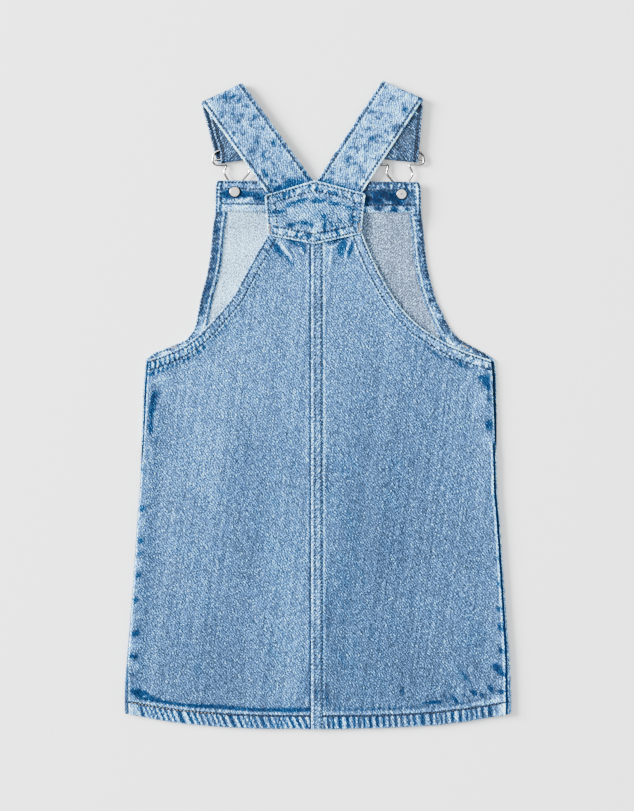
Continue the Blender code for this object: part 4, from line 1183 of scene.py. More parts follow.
FACING_MARKS = (
    # the shade beside each cap
    (-74.2, 190.4, 6.2, 6.2, 0, -0.26, 0), (76.0, 188.3, 6.2, 6.2, 0, -0.26, 0),
    # deep dye round the caps
    (-76, 189, 12, 5.0, 0, -0.42, -0.2), (-60, 189, 14, 4.2, -6, -0.48, -0.2),
    (-84, 190, 5, 6, 90, -0.30, -0.1), (-66, 184, 10, 2.0, 12, 0.22, 0.2),
    (-52, 185, 8, 2.4, -10, -0.30, -0.1), (-72, 177, 12, 2.0, 0, 0.10, 0.1),
    (62, 188, 15, 4.4, -12, -0.85, -0.2), (52, 184, 9, 3.6, -8, -0.65, -0.2),
    (70, 182, 9, 3.0, -24, -0.50, -0.1), (60, 184, 10, 1.3, -30, 0.50, 0.2),
    (84, 185, 4, 7, 90, 0.12, 0.1), (82, 177, 8, 2.2, 0, -0.20, -0.1),
    (54, 176, 4, 2.2, 0, -0.85, -0.1), (68, 175.5, 4, 2.2, 0, -0.85, -0.1),
    (80, 175.5, 3.5, 2.2, 0, -0.75, -0.1), (-62, 177, 4, 1.6, 0, -0.22, -0.1),
)


def make_facing():
    rows = BIB_ROWS[BIB_ROWS >= FACING_FOOT - 1e-6]
    x = np.array([np.linspace(*np.array(bib_row_x(y))[[12, -13]], 110) for y in rows])
    level = levels(rows, x)
    y = bib_y(x, level)
    lift = bib_lift(x, y)
    top_away = BIB_TOP - level
    inner_away = level - FACING_FOOT
    tone, rise = marked(FACING_MARKS, x, y, 70)
    hem_tone, hem_rise = bib_hem_tone(x, y, top_away, 71)
    # The right half of the facing is painted darker all over: painted shade.
    right = ease(-0.02, 0.02, x)
    tone += ((1 + 0.5 * right) * hem_tone + mix(0.06, -0.36, right)
             + mix(0.20, 0.46, right) * ease(0.0064, 0.0036, inner_away))
    tone += 0.20 * right * ease(0.0090, 0.0070, top_away) + 0.22 * right * ease(0.080, 0.086, x)
    tone += (0.10 + 0.12 * right) * mottle(x / 0.0030, y / 0.0026, 75)
    tone += 0.05 * mottle(x / 0.008, y / 0.005, 73)
    rise += hem_rise + 0.00018 * rope(x, 0.0062, 72) * ease(0.008, 0.001, inner_away)
    y = y + 0.0004 * ripple(x / 0.012, 74) * ease(0.004, 0.0, inner_away)
    y = y + 0.0006 * ease(0.0008, 0.0, top_away)
    at_foot = top_away > 0.0140
    stitched = vectors(
        top_away - FACING_ROWS[0],
        np.where(at_foot, 1.5 * (inner_away - FACING_FOOT_ROW), -(top_away - FACING_ROWS[1])),
        np.where(at_foot, PITCH / 4, x))
    edge = np.minimum(top_away + 0.0005, inner_away + 0.0006)
    tone += 0.22 * bump(inner_away, 0.0050, 0.0010)
    dye, tone = settled(tone)
    return hem_shell("bib_top_facing", x, y, lift, top_away, inner_away, rise,
                     looks_of(x, y, tone, dye * mix(1.0, 0.50, right), edge, stitched))


SIDE_HEM_MARKS = (
    (-92, 160, 4, 8, 0, -0.14, 0), (-91, 138, 4, 8, 0, -0.14, 0), (-94, 118, 4, 9, 0, -0.12, 0),
    (-99, 100, 4, 8, 0, -0.12, 0), (-104, 82, 4, 8, 20, -0.20, 0), (-112, 62, 4, 9, 40, -0.20, 0),
    (93, 162, 4, 9, 0, -0.22, 0), (92, 140, 4, 8, 0, -0.20, 0), (96, 116, 4, 8, 0, -0.24, 0),
    (102, 94, 4, 8, 0, -0.20, 0), (113, 72, 4, 9, -30, -0.28, 0), (134, 56, 16, 4, -28, -0.36, 0),
    (148, 48, 9, 4, -30, -0.40, 0),
)


# How the two side hems differ.
HemWear = namedtuple("HemWear", "columns seed tone foot_tone")
HEM_WEAR = {"left": HemWear(slice(0, 12), 81, -0.24, 0.36),
            "right": HemWear(slice(-12, None), 85, -0.05, 0.10)}


def make_side_hem(side):
    own = HEM_WEAR[side]
    rows = BIB_ROWS[BIB_ROWS > UNDERARM + 0.003]
    x = np.array([bib_row_x(y)[own.columns] for y in rows])
    level = levels(rows, x)
    y = bib_y(x, level)
    lift = bib_lift(x, y)
    away, along = nearest(x, y, BIB_LINE)
    inner_away = np.maximum(0, side_hem_width(level) - away)
    tone, rise = marked(SIDE_HEM_MARKS, x, y, 80)
    hem_tone, hem_rise = bib_hem_tone(x, y, away, own.seed)
    pale = bump(inner_away, 0.0027, 0.0013)
    tone += hem_tone + own.tone + 0.60 * pale
    tone += own.foot_tone * ease(0.086, 0.068, y)
    # Uneven mottle, and a painted shadow line along the hem's inner edge.
    tone += (0.16 * (1 - pale) * mottle(x / 0.003, y / 0.005, 83)
             - 0.34 * ease(0.0014, 0.0003, inner_away))
    rise += hem_rise + 0.00020 * bump(inner_away, 0.0034, 0.0020)
    stitched = vectors(FAR, away - SIDE_HEM_ROWS[0], along)
    edge = np.minimum(away + 0.0003, inner_away + 0.0002)
    dye, tone = settled(tone)
    return hem_shell("bib_side_hem_" + side, x, y, lift, away, inner_away, rise,
                     looks_of(x, y, tone, dye * 0.4, edge, stitched))


# ---------------------------------------------------------------- centre band and yoke
def make_band():
    rows = np.concatenate([SKIRT_ROWS, np.arange(0.040, BAND_TOP, 0.0022), [BAND_TOP]])
    offsets = np.array([0, 0.0002, 0.0006, 0.0012, 0.0020, 0.0029, 0.0038, 0.0049, 0.0060,
                        0.0070, 0.0079, 0.0087, 0.0093, 0.0097])
    x = np.broadcast_to(BAND_LEFT + offsets, (len(rows), len(offsets)))
    level = levels(rows, x)
    y = hem_curve(x, level)
    heights = [back_top("left", np.array([BAND_LEFT, CENTRE_SEAM]), y[:, :1]),
               back_top("right", np.array([BAND_RIGHT]), y[:, :1])]
    base = np.concatenate(heights, 1).max(1)[:, None] + GAP
    across = x - BAND_LEFT
    puckers = rope(y + 0.4 * across, 0.0047, 90)
    low = level - HEM_LOW
    tone = (0.05 + 0.17 * puckers * bump(across, 0.0062, 0.0042)
            + 0.05 * mottle(x / 0.002, y / 0.004, 91))
    tone += 0.08 * bump(across, 0.0062, 0.0016) + 0.08 * bump(across, 0.0016, 0.0012)
    tone += 0.08 * mottle(y / 0.03, 0 * y, 93)
    tone -= 0.26 * bump(across, 0.0050, 0.0046) * bump(low, 0.032, 0.016)
    rise = 0.00012 * puckers * bump(across, 0.0055, 0.004)
    high = (base + BAND_CLOTH + rise - edge_rounding(across, 0.0007)
            - edge_rounding(BAND_RIGHT - x, 0.0006))
    dye, tone = settled(tone)
    stitched = vectors(1.5 * (across - BAND_ROWS[0]), 1.6 * (across - BAND_ROWS[1]), y)
    return cloth("centre_back_band", vectors(x, y, high), vectors(x, y, base),
                 looks_of(-x, y, tone, dye, across, stitched), ("denim", "denim_inside"))


def yoke_outline():
    """Corners of the yoke, clockwise from its upper left one."""
    return np.array([YOKE_LEFT[:2], (YOKE_MIDDLE, YOKE_PEAK), YOKE_RIGHT[:2],
                     YOKE_RIGHT[2:], (YOKE_MIDDLE, YOKE_POINT), YOKE_LEFT[2:]])


YOKE_MARKS = (
    # an arc of deep dye under the top rows
    (-35.5, 173.5, 8.5, 2.4, 14, -0.42, -0.2), (-25, 180, 6, 2.4, 24, -0.30, -0.2),
    (-15, 183, 8, 2.6, 14, -0.36, -0.25), (0, 183.5, 8, 2.8, -2, -0.40, -0.25),
    (14, 181, 8, 2.6, -14, -0.32, -0.2), (27, 177, 7, 2.4, -24, -0.26, -0.2),
    (-40, 180, 6, 2.4, 24, 0.10, 0.1), (-20, 175, 8, 2.2, 18, 0.12, 0.2),
    # short folds over the point
    (-24, 162, 5, 1.8, 4, -0.36, -0.2), (-13, 163, 8, 2.0, -6, -0.42, -0.25),
    (-5, 161, 4, 1.6, -30, -0.30, -0.2), (6, 159, 6, 2.6, 96, -0.46, -0.3),
    (6, 168, 5, 2.0, 108, -0.26, -0.15), (11, 163, 6, 1.4, 125, -0.20, -0.1),
    (17, 158, 5, 1.6, 115, -0.20, -0.1), (-4, 156, 7, 2.4, 60, 0.16, 0.2),
    (1, 163, 8, 1.3, 100, 0.14, 0.2), (22, 165, 7, 1.6, 120, -0.12, -0.1),
    (29, 170, 3, 9, 0, -0.14, -0.1), (-42, 165, 4, 6, 0, 0.08, 0.1),
)


def make_yoke():
    insets = np.array([0.0, 0.12, 0.3, 0.6, 1.0])
    halves = []
    for side, way in ((YOKE_LEFT, 1), (YOKE_RIGHT, -1)):
        cut = YOKE_CORNER * (1 - np.sqrt(1 - (1 - insets) ** 2))
        top = vectors(side.top_x + way * YOKE_CORNER * insets, side.top_y - cut)
        foot = vectors(side.foot_x + way * YOKE_CORNER * insets, side.foot_y + cut)
        along = np.linspace(0, 1, 38)[1:, None]
        halves.append([np.concatenate([line, mix(line[-1], np.array((YOKE_MIDDLE, end)), along)])
                       for line, end in ((top, YOKE_PEAK), (foot, YOKE_POINT))])
    tops, feet = (np.concatenate([left, right[-2::-1]]) for left, right in zip(*halves))
    rows = np.concatenate([[0, 0.008, 0.02, 0.035], np.linspace(0, 1, 46)[2:-2],
                           [0.965, 0.98, 0.992, 1]])
    place = mix(feet[None], tops[None], rows[:, None, None])
    x, y = place[..., 0], place[..., 1]
    corners = yoke_outline()
    away, along = nearest(x, y, np.concatenate([corners, corners[:1]]))
    tone, rise = marked(YOKE_MARKS, x, y, 100)
    tone *= 1.35
    ropes = rope(along, 0.0050, 101)
    between = ease(0.0024, 0.0036, away) * ease(0.0094, 0.0080, away)
    from_sides = np.minimum(np.abs(x - YOKE_LEFT.top_x), np.abs(x - YOKE_RIGHT.top_x))
    between = between * mix(0.35, 1.0, ease(0.006, 0.012, from_sides))
    tone += between * (0.26 * ropes + 0.46 * mottle(along / 0.0023, away / 0.0020, 102) - 0.02)
    rise += 0.00024 * between * ropes
    tone += 0.10 * ease(0.0034, 0.0018, away) + 0.10
    tone += 0.12 * mottle(x / 0.005, y / 0.005, 103) + 0.06 * mottle(x / 0.012, y / 0.009, 104)
    puffed = 0.0006 * ease(0.008, 0.020, away)
    base = YOKE_BASE + bib_lift(x, y)
    high = base + YOKE_CLOTH + rise + puffed - edge_rounding(away, 0.0010)
    stitched = vectors(away - YOKE_ROWS[0], away - YOKE_ROWS[1], along)
    dye, tone = settled(tone - 0.13)
    return cloth("back_yoke", vectors(x, y, high), vectors(x, y, base),
                 looks_of(x, y, tone + 0.086, dye, away, stitched), ("denim_yoke", "denim_inside"))


# ---------------------------------------------------------------- straps
def strap_back_height(place):
    at_yoke = (2 * CLOTH + GAP + STRAP_OVER_FACING + STRAP_CLOTH / 2
               + bib_lift(place[..., 0], place[..., 1]))
    return mix(at_yoke, BACK_RUN_HEIGHT, ease(STRAP_DROP_FOOT, STRAP_DROP_TOP, place[..., 1]))


def strap_bar(strap):
    run_way = 2 * strap.fold_angle - strap.heading + strap.swing
    return np.array(strap.fold) + heading(run_way) * strap.run


def at_height(place, z):
    return np.concatenate([place, z[..., None]], -1)


def strap_point(strap, along, across, out):
    """Points of the strap: along from the yoke, across its width, out from its middle."""
    way = heading(strap.heading)
    sideways = turned(way, math.pi / 2)
    place = np.array(strap.start) + along[..., None] * way + across[..., None] * sideways
    fold_out = turned(heading(strap.fold_angle), math.pi / 2)
    fold = np.array(strap.fold) - fold_out * (FOLD_RADIUS + STRAP_CLOTH / 2)
    past = (place - fold) @ fold_out
    on_back = at_height(place, strap_back_height(place) + out)

    angle = np.clip(past / FOLD_RADIUS, 0, math.pi)
    radius = FOLD_RADIUS + out
    bent = place + fold_out * (radius * np.sin(angle) - past)[..., None]
    on_fold = at_height(bent, RUN_HEIGHT + FOLD_RADIUS + radius * np.cos(angle))

    past_fold = past - math.pi * FOLD_RADIUS
    under = place - fold_out * (2 * past_fold + math.pi * FOLD_RADIUS)[..., None]
    swing = math.radians(strap.swing) * ease(0, SWING_REACH, past_fold)
    under = fold + turned(under - fold, swing)
    bar = strap_bar(strap)
    bar_out = turned(heading(strap.bar_tilt), -math.pi / 2)
    past_bar = (under - bar) @ bar_out
    on_run = at_height(under, RUN_HEIGHT - out)

    angle = np.clip(past_bar / BAR_TURN, 0, math.pi)
    wrapped = under + bar_out * ((BAR_TURN + out) * np.sin(angle) - past_bar)[..., None]
    squeeze = (strap.tail_squeeze * (across + STRAP_HALF) / (2 * STRAP_HALF)
               * ease(0, math.pi, angle))
    wrapped = wrapped + vectors(squeeze, 0)
    on_bar = at_height(wrapped, BAR_HEIGHT - (BAR_TURN + out) * np.cos(angle))

    past_tail = past_bar - math.pi * BAR_TURN
    tail = wrapped - bar_out * past_tail[..., None]
    swing = math.radians(strap.tail_swing) * ease(0, SWING_REACH, past_tail)
    tail = bar + turned(tail - bar, swing)
    on_tail = at_height(tail, BAR_HEIGHT + BAR_TURN + out)

    result = on_back
    for reached, points in ((past > 0, on_fold), (past_fold > 0, on_run),
                            ((past_fold > 0) & (past_bar > 0), on_bar),
                            ((past_fold > 0) & (past_tail > 0), on_tail)):
        result = np.where(reached[..., None], points, result)
    return result


def slant_of(strap, line):
    way = heading(strap.heading)
    return float(line @ way / (line @ turned(way, math.pi / 2)))


def strap_spine(strap):
    """(along, slant) of the strap's rows, and where its fold begins and ends."""
    yoke = YOKE_LEFT if strap.side == "left" else YOKE_RIGHT
    end_slant = slant_of(strap, np.array((YOKE_MIDDLE - yoke.top_x, YOKE_PEAK - yoke.top_y)))
    fold_line = heading(strap.fold_angle)
    fold_slant = slant_of(strap, fold_line)
    bar_slant = slant_of(strap, heading(2 * strap.fold_angle - strap.bar_tilt + strap.swing))
    fold_out = turned(fold_line, math.pi / 2)
    squint = float(heading(strap.heading) @ fold_out)
    fold_start = float((np.array(strap.fold) - np.array(strap.start)) @ fold_out)
    fold_start = (fold_start - FOLD_RADIUS - STRAP_CLOTH / 2) / squint
    fold_end = fold_start + math.pi * FOLD_RADIUS / squint
    bar_start = fold_end + strap.run - (FOLD_RADIUS + STRAP_CLOTH / 2) / squint
    bar_end = bar_start + math.pi * BAR_TURN
    keys = ((-STRAP_END, end_slant, 0), (STRAP_SQUARE, 0, 26), (fold_start, fold_slant, 52),
            (fold_end, fold_slant, 18), (bar_start, bar_slant, 32), (bar_end, bar_slant, 14),
            (bar_end + strap.tail, 0, 26))
    rows = [keys[0][:2]]
    for (start, slant, _), (end, next_slant, steps) in zip(keys, keys[1:]):
        for share in np.linspace(0, 1, steps + 1)[1:]:
            rows.append((mix(start, end, share), mix(slant, next_slant, share)))
    return np.array(rows), fold_start, fold_end


STRAP_WEAR = {"left": (120, 0.02), "right": (150, 0.09)}  # seed, tone of the back run


def make_strap(strap):
    way = WAYS[strap.side]
    rows, fold_start, fold_end = strap_spine(strap)
    inner = np.linspace(-1, 1, 27) * (STRAP_HALF - 0.0022)
    ends = STRAP_HALF - np.array([0, 0.0002, 0.0006, 0.0011, 0.0016])
    across = np.concatenate([-ends, inner, ends[::-1]])
    across = np.broadcast_to(across, (len(rows), len(across)))
    along = rows[:, :1] + rows[:, 1:] * across
    away = STRAP_HALF - np.abs(across)
    outer_side = way * across < 0  # away from the neck
    seed, back_tone = STRAP_WEAR[strap.side]
    shown = ease(fold_end, fold_start, along)  # 1 on the back run
    ropes = rope(along, 0.0038, seed) * np.where(across > 0, 1, -1)
    band = ease(0.0010, 0.0020, away) * ease(0.0048, 0.0036, away)
    tone = band * (-0.16 + 0.30 * ropes)
    pale = bump(away, np.where(outer_side, 0.0052, 0.0046), 0.0013)
    tone += 0.22 * pale
    tone += np.where(outer_side, 0.20, 0.0) * ease(0.0026, 0.0012, away)
    tone += 0.10 * mottle(across / 0.0055, along / 0.0075, seed + 1)
    tone += 0.50 * np.clip(mottle(across / 0.0036, along / 0.0030, seed + 2) + 0.16, -1, 0.1)
    tone += np.where(shown > 0.5, back_tone, 0.0)
    to_yoke = along + STRAP_END - rows[0, 1] * across
    near_yoke = ease(0.015, 0.007, to_yoke + 0.003 * mottle(across / 0.005, 0 * along, seed + 4))
    uneven = mottle(across / 0.0045, along / 0.006, seed + 5)
    tone -= 0.58 * near_yoke * (0.75 + 0.35 * uneven)
    tone += 0.12 * bump(along, fold_start + 0.003, 0.008)
    tone = mix(tone - 0.36 + 0.24 * mottle(across / 0.0022, along / 0.0022, seed + 6), tone, shown)
    rise = 0.00018 * band * ropes + 0.00020 * pale - 0.00015 * bump(away, 0.0030, 0.0010)
    rise += (0.00030 * mottle(across / 0.0075, along / 0.0085, seed + 1)
             * ease(0.003, 0.008, away))
    round_off = edge_rounding(away, STRAP_CLOTH / 2 * 0.98)
    faces = [strap_point(strap, along, across, STRAP_CLOTH / 2 + rise - round_off),
             strap_point(strap, along, across, -STRAP_CLOTH / 2 + round_off)]
    limit = YOKE_MIDDLE + way * GAP / 2
    for face in faces:
        face[..., 0] = way * np.maximum(way * face[..., 0], way * limit)
    stitched = vectors(away - STRAP_ROW, FAR, along)
    edge = away + np.where(outer_side, 0.0, 0.0008)
    dye, tone = settled(tone)
    dye = mix(0.42 + 0.3 * band, dye * (1 - 0.6 * band), shown)
    tone -= 0.16 * (1 - shown) * ease(0.0046, 0.0034, away)
    return cloth("strap_" + strap.side, *faces,
                 looks_of(way * across, along, tone, dye, edge, stitched),
                 ("denim_strap", "denim_turned"), over=True, turned_up=shown < 0.5)


# ---------------------------------------------------------------- metal
def mesh_piece(name, points, faces, material):
    mesh = bpy.data.meshes.new(name)
    mesh.from_pydata([tuple(p) for p in points], [], faces)
    mesh.materials.append(material)
    return smooth_piece(name, mesh, 50)


def tube(centre, radius, closed, sides=14):
    """Points and outward faces of a round wire along a line of points."""
    if closed:
        run = np.roll(centre, -1, 0) - np.roll(centre, 1, 0)
    else:
        run = np.gradient(centre, axis=0)
    run /= np.linalg.norm(run, axis=1, keepdims=True)
    sideways = vectors(run[:, 1], -run[:, 0], 0 * run[:, 0])
    sideways /= np.linalg.norm(sideways, axis=1, keepdims=True)
    upward = np.cross(sideways, run)
    angles = 2 * np.pi * np.arange(sides) / sides
    ring = (centre[:, None] + radius * (np.cos(angles)[None, :, None] * sideways[:, None]
                                        + np.sin(angles)[None, :, None] * upward[:, None]))
    points = ring.reshape(-1, 3)
    count = len(centre)
    faces = []
    for i in range(count if closed else count - 1):
        j = (i + 1) % count
        for k in range(sides):
            m = (k + 1) % sides
            faces.append((i * sides + k, i * sides + m, j * sides + m, j * sides + k))
    if not closed:
        faces.append(tuple(range(sides))[::-1])
        faces.append(tuple(range((count - 1) * sides, count * sides)))
    return points, faces


def rounded(corners, steps):
    points = []
    for i, corner in enumerate(corners):
        here = np.array(corner[:2])
        before = np.array(corners[i - 1][:2]) - here
        after = np.array(corners[(i + 1) % len(corners)][:2]) - here
        sizes = [float(np.linalg.norm(v)) for v in (before, after)]
        before, after = before / sizes[0], after / sizes[1]
        half = math.acos(float(np.clip(before @ after, -1, 1))) / 2
        reach = min(corner.round / math.tan(half), 0.48 * min(sizes))
        radius = reach * math.tan(half)
        spoke_way = (before + after) / np.linalg.norm(before + after)
        middle = here + spoke_way * radius / math.sin(half)
        start, end = here + before * reach - middle, here + after * reach - middle
        for share in np.linspace(0, 1, steps + 1):
            spoke = mix(start, end, share)
            points.append(middle + spoke / np.linalg.norm(spoke) * radius)
    return np.array(points)


def make_buckle(buckle, strap):
    low = buckle.ring_low
    shoulder = min(buckle.ring_shoulder, buckle.ring_top - RING_TOP_ROUND)
    half = (
        Corner(RING_HALF - RING_TOP_CUT, buckle.ring_top, RING_TOP_ROUND),
        Corner(RING_HALF, shoulder, buckle.ring_corner),
        Corner(RING_HALF, low, buckle.ring_corner),
        Corner(NECK_HALF, low, 0.0016),
        Corner(LOOP_HALF, LOOP_WIDEST, 0.0060),
        Corner(LOOP_SLOT, LOOP_WAIST, 0.0040),
        Corner(LOOP_SLOT, -LOOP_SLOT, LOOP_SLOT),
    )
    corners = half + tuple(Corner(-c.x, c.y, c.round) for c in reversed(half))
    place = rounded(corners, 12)
    lean = np.maximum(0.0, place[:, 1] - LOOP_WAIST) / ((low + buckle.ring_top) / 2 - LOOP_WAIST)
    x = buckle.button[0] + place[:, 0] + buckle.shift * lean
    z = mix(BUTTON_HEAD + GAP + WIRE, BAR_HEIGHT, ease(LOOP_WAIST, low, place[:, 1]))
    points, faces = tube(vectors(x, buckle.button[1] + place[:, 1], z), WIRE, True)
    middle, way = strap_bar(strap), heading(strap.bar_tilt)
    middle = middle + way * (buckle.button[0] + buckle.shift - middle[0]) / way[0]
    run = np.linspace(-BAR_HALF, BAR_HALF, 5)[:, None]
    bar = at_height(middle + way * run, np.full(len(run), BAR_HEIGHT))
    bar_points, bar_faces = tube(bar, WIRE * 0.95, False)
    faces += [tuple(i + len(points) for i in face) for face in bar_faces]
    return mesh_piece("buckle_" + buckle.side, np.concatenate([points, bar_points]), faces,
                      WIRE_METAL)


def turned_piece(name, profile, place, sides=48):
    """A body turned about a vertical axis; its (radius, height) pairs start and end on it."""
    angles = 2 * np.pi * np.arange(sides) / sides
    points = [(0, 0, profile[0][1])]
    for radius, height in profile[1:-1]:
        points += [(radius * math.cos(a), radius * math.sin(a), height) for a in angles]
    points.append((0, 0, profile[-1][1]))
    last = len(points) - 1
    faces = []
    for step in range(sides):
        after = (step + 1) % sides
        faces.append((0, 1 + after, 1 + step))
        for ring in range(len(profile) - 3):
            low, high = 1 + ring * sides, 1 + (ring + 1) * sides
            faces.append((low + step, low + after, high + after, high + step))
        faces.append((last, last - sides + step, last - sides + after))
    points = np.array(points) + np.array(place)
    return mesh_piece(name, points, faces, NICKEL)


def make_button(side, button):
    top = BIB_RISE - GAP
    r = BUTTON_RADIUS
    profile = ((0, 0.0003), (r * 0.30, 0.0003), (r * 0.34, 0.0005), (r * 0.62, 0.0005),
               (r * 0.68, 0.0001), (r - 0.0012, 0.0), (r - 0.0004, 0.0003), (r, 0.0008),
               (r, BUTTON_HEAD - 0.0006), (r - 0.0003, BUTTON_HEAD - 0.0001),
               (r - 0.0008, BUTTON_HEAD), (SHANK_RADIUS + 0.0004, BUTTON_HEAD),
               (SHANK_RADIUS, BUTTON_HEAD + 0.0003), (SHANK_RADIUS, top), (0, top))
    return turned_piece("button_" + side, profile, (*button, 0))


def make_cap(side, button):
    foot = BIB_RISE + 2 * CLOTH + 2 * GAP
    r = CAP_RADIUS + (0.0003 if side == "left" else 0.0)
    dome = [(0, 0), (r - 0.0003, 0), (r, 0.0003), (r - 0.0003, 0.0007), (r - 0.0008, 0.0010)]
    if side == "left":
        dome += [(r - 0.0012, 0.00120), (r * 0.45, 0.00134), (0, CAP_HEIGHT)]
    else:
        dome += [(r - 0.0011, 0.00108), (r - 0.0016, 0.00090), (r - 0.0021, 0.00108),
                 (r * 0.40, 0.00126), (0.00085, 0.00130), (0.0006, 0.00070), (0, 0.00050)]
    return turned_piece("rivet_cap_" + side, dome, (*button, foot))


# ---------------------------------------------------------------- build the pieces
pieces = {
    "front": make_front(), "back_left": make_back("left"), "back_right": make_back("right"),
    "bib_top_facing": make_facing(), "bib_side_hem_left": make_side_hem("left"),
    "bib_side_hem_right": make_side_hem("right"), "centre_back_band": make_band(),
    "back_yoke": make_yoke(),
}
for strap, buckle in zip(STRAPS, BUCKLES):
    side = strap.side
    pieces["strap_" + side] = make_strap(strap)
    pieces["buckle_" + side] = make_buckle(buckle, strap)
    pieces["button_" + side] = make_button(side, buckle.button)
    pieces["rivet_cap_" + side] = make_cap(side, buckle.button)


# ---------------------------------------------------------------- stitches
def thread_group():
    """Geometry nodes: a short round stitch on every point, along the point's own run."""
    tree, points, length, thickness, sunk, material = new_group(
        "stitches", "GeometryNodeTree", "Geometry", "Length", "Thickness", "Sunk", "Material")
    tree.is_modifier = True
    stitch = shared("GeometryNodeTransform", output(tree, "GeometryNodeMeshUVSphere", 7, 5, 0.5),
                    named={"Scale": combined(thickness, thickness, length)})
    run, reach = (output(tree, "GeometryNodeInputNamedAttribute", label, data_type=kind)
                  for label, kind in (("run", "FLOAT_VECTOR"), ("reach", "FLOAT")))
    aim = output(tree, "FunctionNodeAlignRotationToVector", named={"Vector": run}, axis="Z")
    chance = output(tree, "FunctionNodeRandomValue", data_type="FLOAT",
                    named={"Min": 0.86, "Max": 1.12, "Seed": 4})
    placed = shared("GeometryNodeInstanceOnPoints", points, named={
        "Instance": stitch, "Rotation": aim, "Scale": combined(1.0, 1.0, reach * chance)})
    lowered = shared("GeometryNodeTranslateInstances", placed, named={
        "Translation": combined(0.0, 0.0, sunk * -1.0), "Local Space": False})
    dyed = shared("GeometryNodeSetMaterial", shared("GeometryNodeRealizeInstances", lowered),
                  named={"Material": material})
    return close_group(tree, Geometry=dyed)


THREAD_TREE = thread_group()
Stitch = namedtuple("Stitch", "place run reach")


def sew(name, stitches, material, length, thickness, sunk):
    """One mesh of all the stitches in one thread."""
    mesh = bpy.data.meshes.new(name + "_points")
    mesh.from_pydata([tuple(s.place) for s in stitches], [], [])
    store(mesh, "run", [stitch.run for stitch in stitches], True)
    store(mesh, "reach", [stitch.reach for stitch in stitches], False)
    holder = placed_object(name + "_points", mesh)
    modifier = holder.modifiers.new("stitches", "NODES")
    modifier.node_group = THREAD_TREE
    sizes = {"Length": length, "Thickness": thickness, "Sunk": sunk, "Material": material}
    for item in THREAD_TREE.interface.items_tree:
        if item.in_out == "INPUT" and item.name in sizes:
            modifier[item.identifier] = sizes[item.name]
    bpy.context.view_layer.update()
    evaluated = holder.evaluated_get(bpy.context.evaluated_depsgraph_get())
    sewn = bpy.data.meshes.new_from_object(evaluated)
    sewn.name = name
    sewn.shade_smooth()
    bpy.data.objects.remove(holder)
    return placed_object(name + "_look", sewn)


TREES = {}
ABOVE_ALL = 0.05
TACK_STITCH = 0.0022  # the width of a tack whose stitches are as long as all others
LOOK_AHEAD = 0.0008  # how far the run of a stitch is felt out


def on_piece(name, x, y):
    """The top of a piece at x and y, or None."""
    if name not in TREES:
        mesh = pieces[name].data
        TREES[name] = BVHTree.FromPolygons([v.co for v in mesh.vertices],
                                           [tuple(p.vertices) for p in mesh.polygons])
    return TREES[name].ray_cast(Vector((x, y, ABOVE_ALL)), Vector((0, 0, -1)))[0]


def row_on(name, line, start=0.0, end=0.0):
    """Stitches along a flat line, laid on top of a piece."""
    found = []
    places = spaced(line, PITCH, start, end)
    for place, run in zip(places, np.gradient(places, axis=0)):
        hit = on_piece(name, *place)
        ahead = on_piece(name, *(place + run / np.linalg.norm(run) * LOOK_AHEAD))
        if hit is not None and ahead is not None:
            found.append(Stitch(tuple(hit), tuple((ahead - hit).normalized()), 1.0))
    return found


def tack_on(name, x, y, length, width, angle, count):
    """A bar tack: short stitches side by side across a bar."""
    way = heading(angle)
    across = turned(way, math.pi / 2)
    found = []
    for share in np.linspace(-0.5, 0.5, count):
        hit = on_piece(name, *(np.array((x, y)) + way * length * share))
        if hit is not None:
            found.append(Stitch(tuple(hit + Vector((0, 0, 0.0001))),
                                (*(across + 0.18 * way), 0.0), width / TACK_STITCH))
    return found


def inset_line(corners, inset):
    """A closed ring of corners moved inwards, for corners that run clockwise."""
    corners = np.asarray(corners)
    sides = np.roll(corners, -1, 0) - corners
    inward = vectors(sides[:, 1], -sides[:, 0])
    inward /= np.linalg.norm(inward, axis=1, keepdims=True)
    moved = []
    for i in range(len(corners)):
        a, b = i - 1, i
        p = corners[a] + inward[a] * inset
        q = corners[b] + inward[b] * inset
        t = np.linalg.solve(np.stack([sides[a], -sides[b]], 1), q - p)[0]
        moved.append(p + sides[a] * t)
    return np.array(moved)


def offset_line(line, distance):
    run = np.gradient(line, axis=0)
    run /= np.linalg.norm(run, axis=1, keepdims=True)
    return line + distance * vectors(run[:, 1], -run[:, 0])


# piece, x, y, length, width, lean in degrees, stitches
TACKS = (
    ("back_yoke", -0.0432, 0.1592, 0.0050, 0.0015, 88, 7),
    ("back_yoke", 0.0374, 0.1602, 0.0050, 0.0015, 94, 7),
    ("back_yoke", -0.0432, 0.1552, 0.0032, 0.0015, 150, 7),
    ("back_yoke", 0.0372, 0.1560, 0.0032, 0.0015, 30, 7),
    ("bib_side_hem_left", -0.1296, 0.0517, 0.0046, 0.0018, 25, 7),
    ("back_left", -0.1490, 0.0405, 0.0030, 0.0016, 20, 5),
    ("bib_side_hem_right", 0.1330, 0.0520, 0.0046, 0.0018, -30, 7),
)
# How far the yoke's inner rows run on past their corners.
ROW_ENDS = np.array([(-0.0050, -0.0020), (0, 0), (0.0050, -0.0020),
                     (0.0055, 0.0024), (0, 0), (-0.0055, 0.0024)])
HEM_ROW_START = {"left": 0.0062, "right": 0.0042}
TAN_UP_TO = -0.095  # the hem's thread is tan on the left of this x


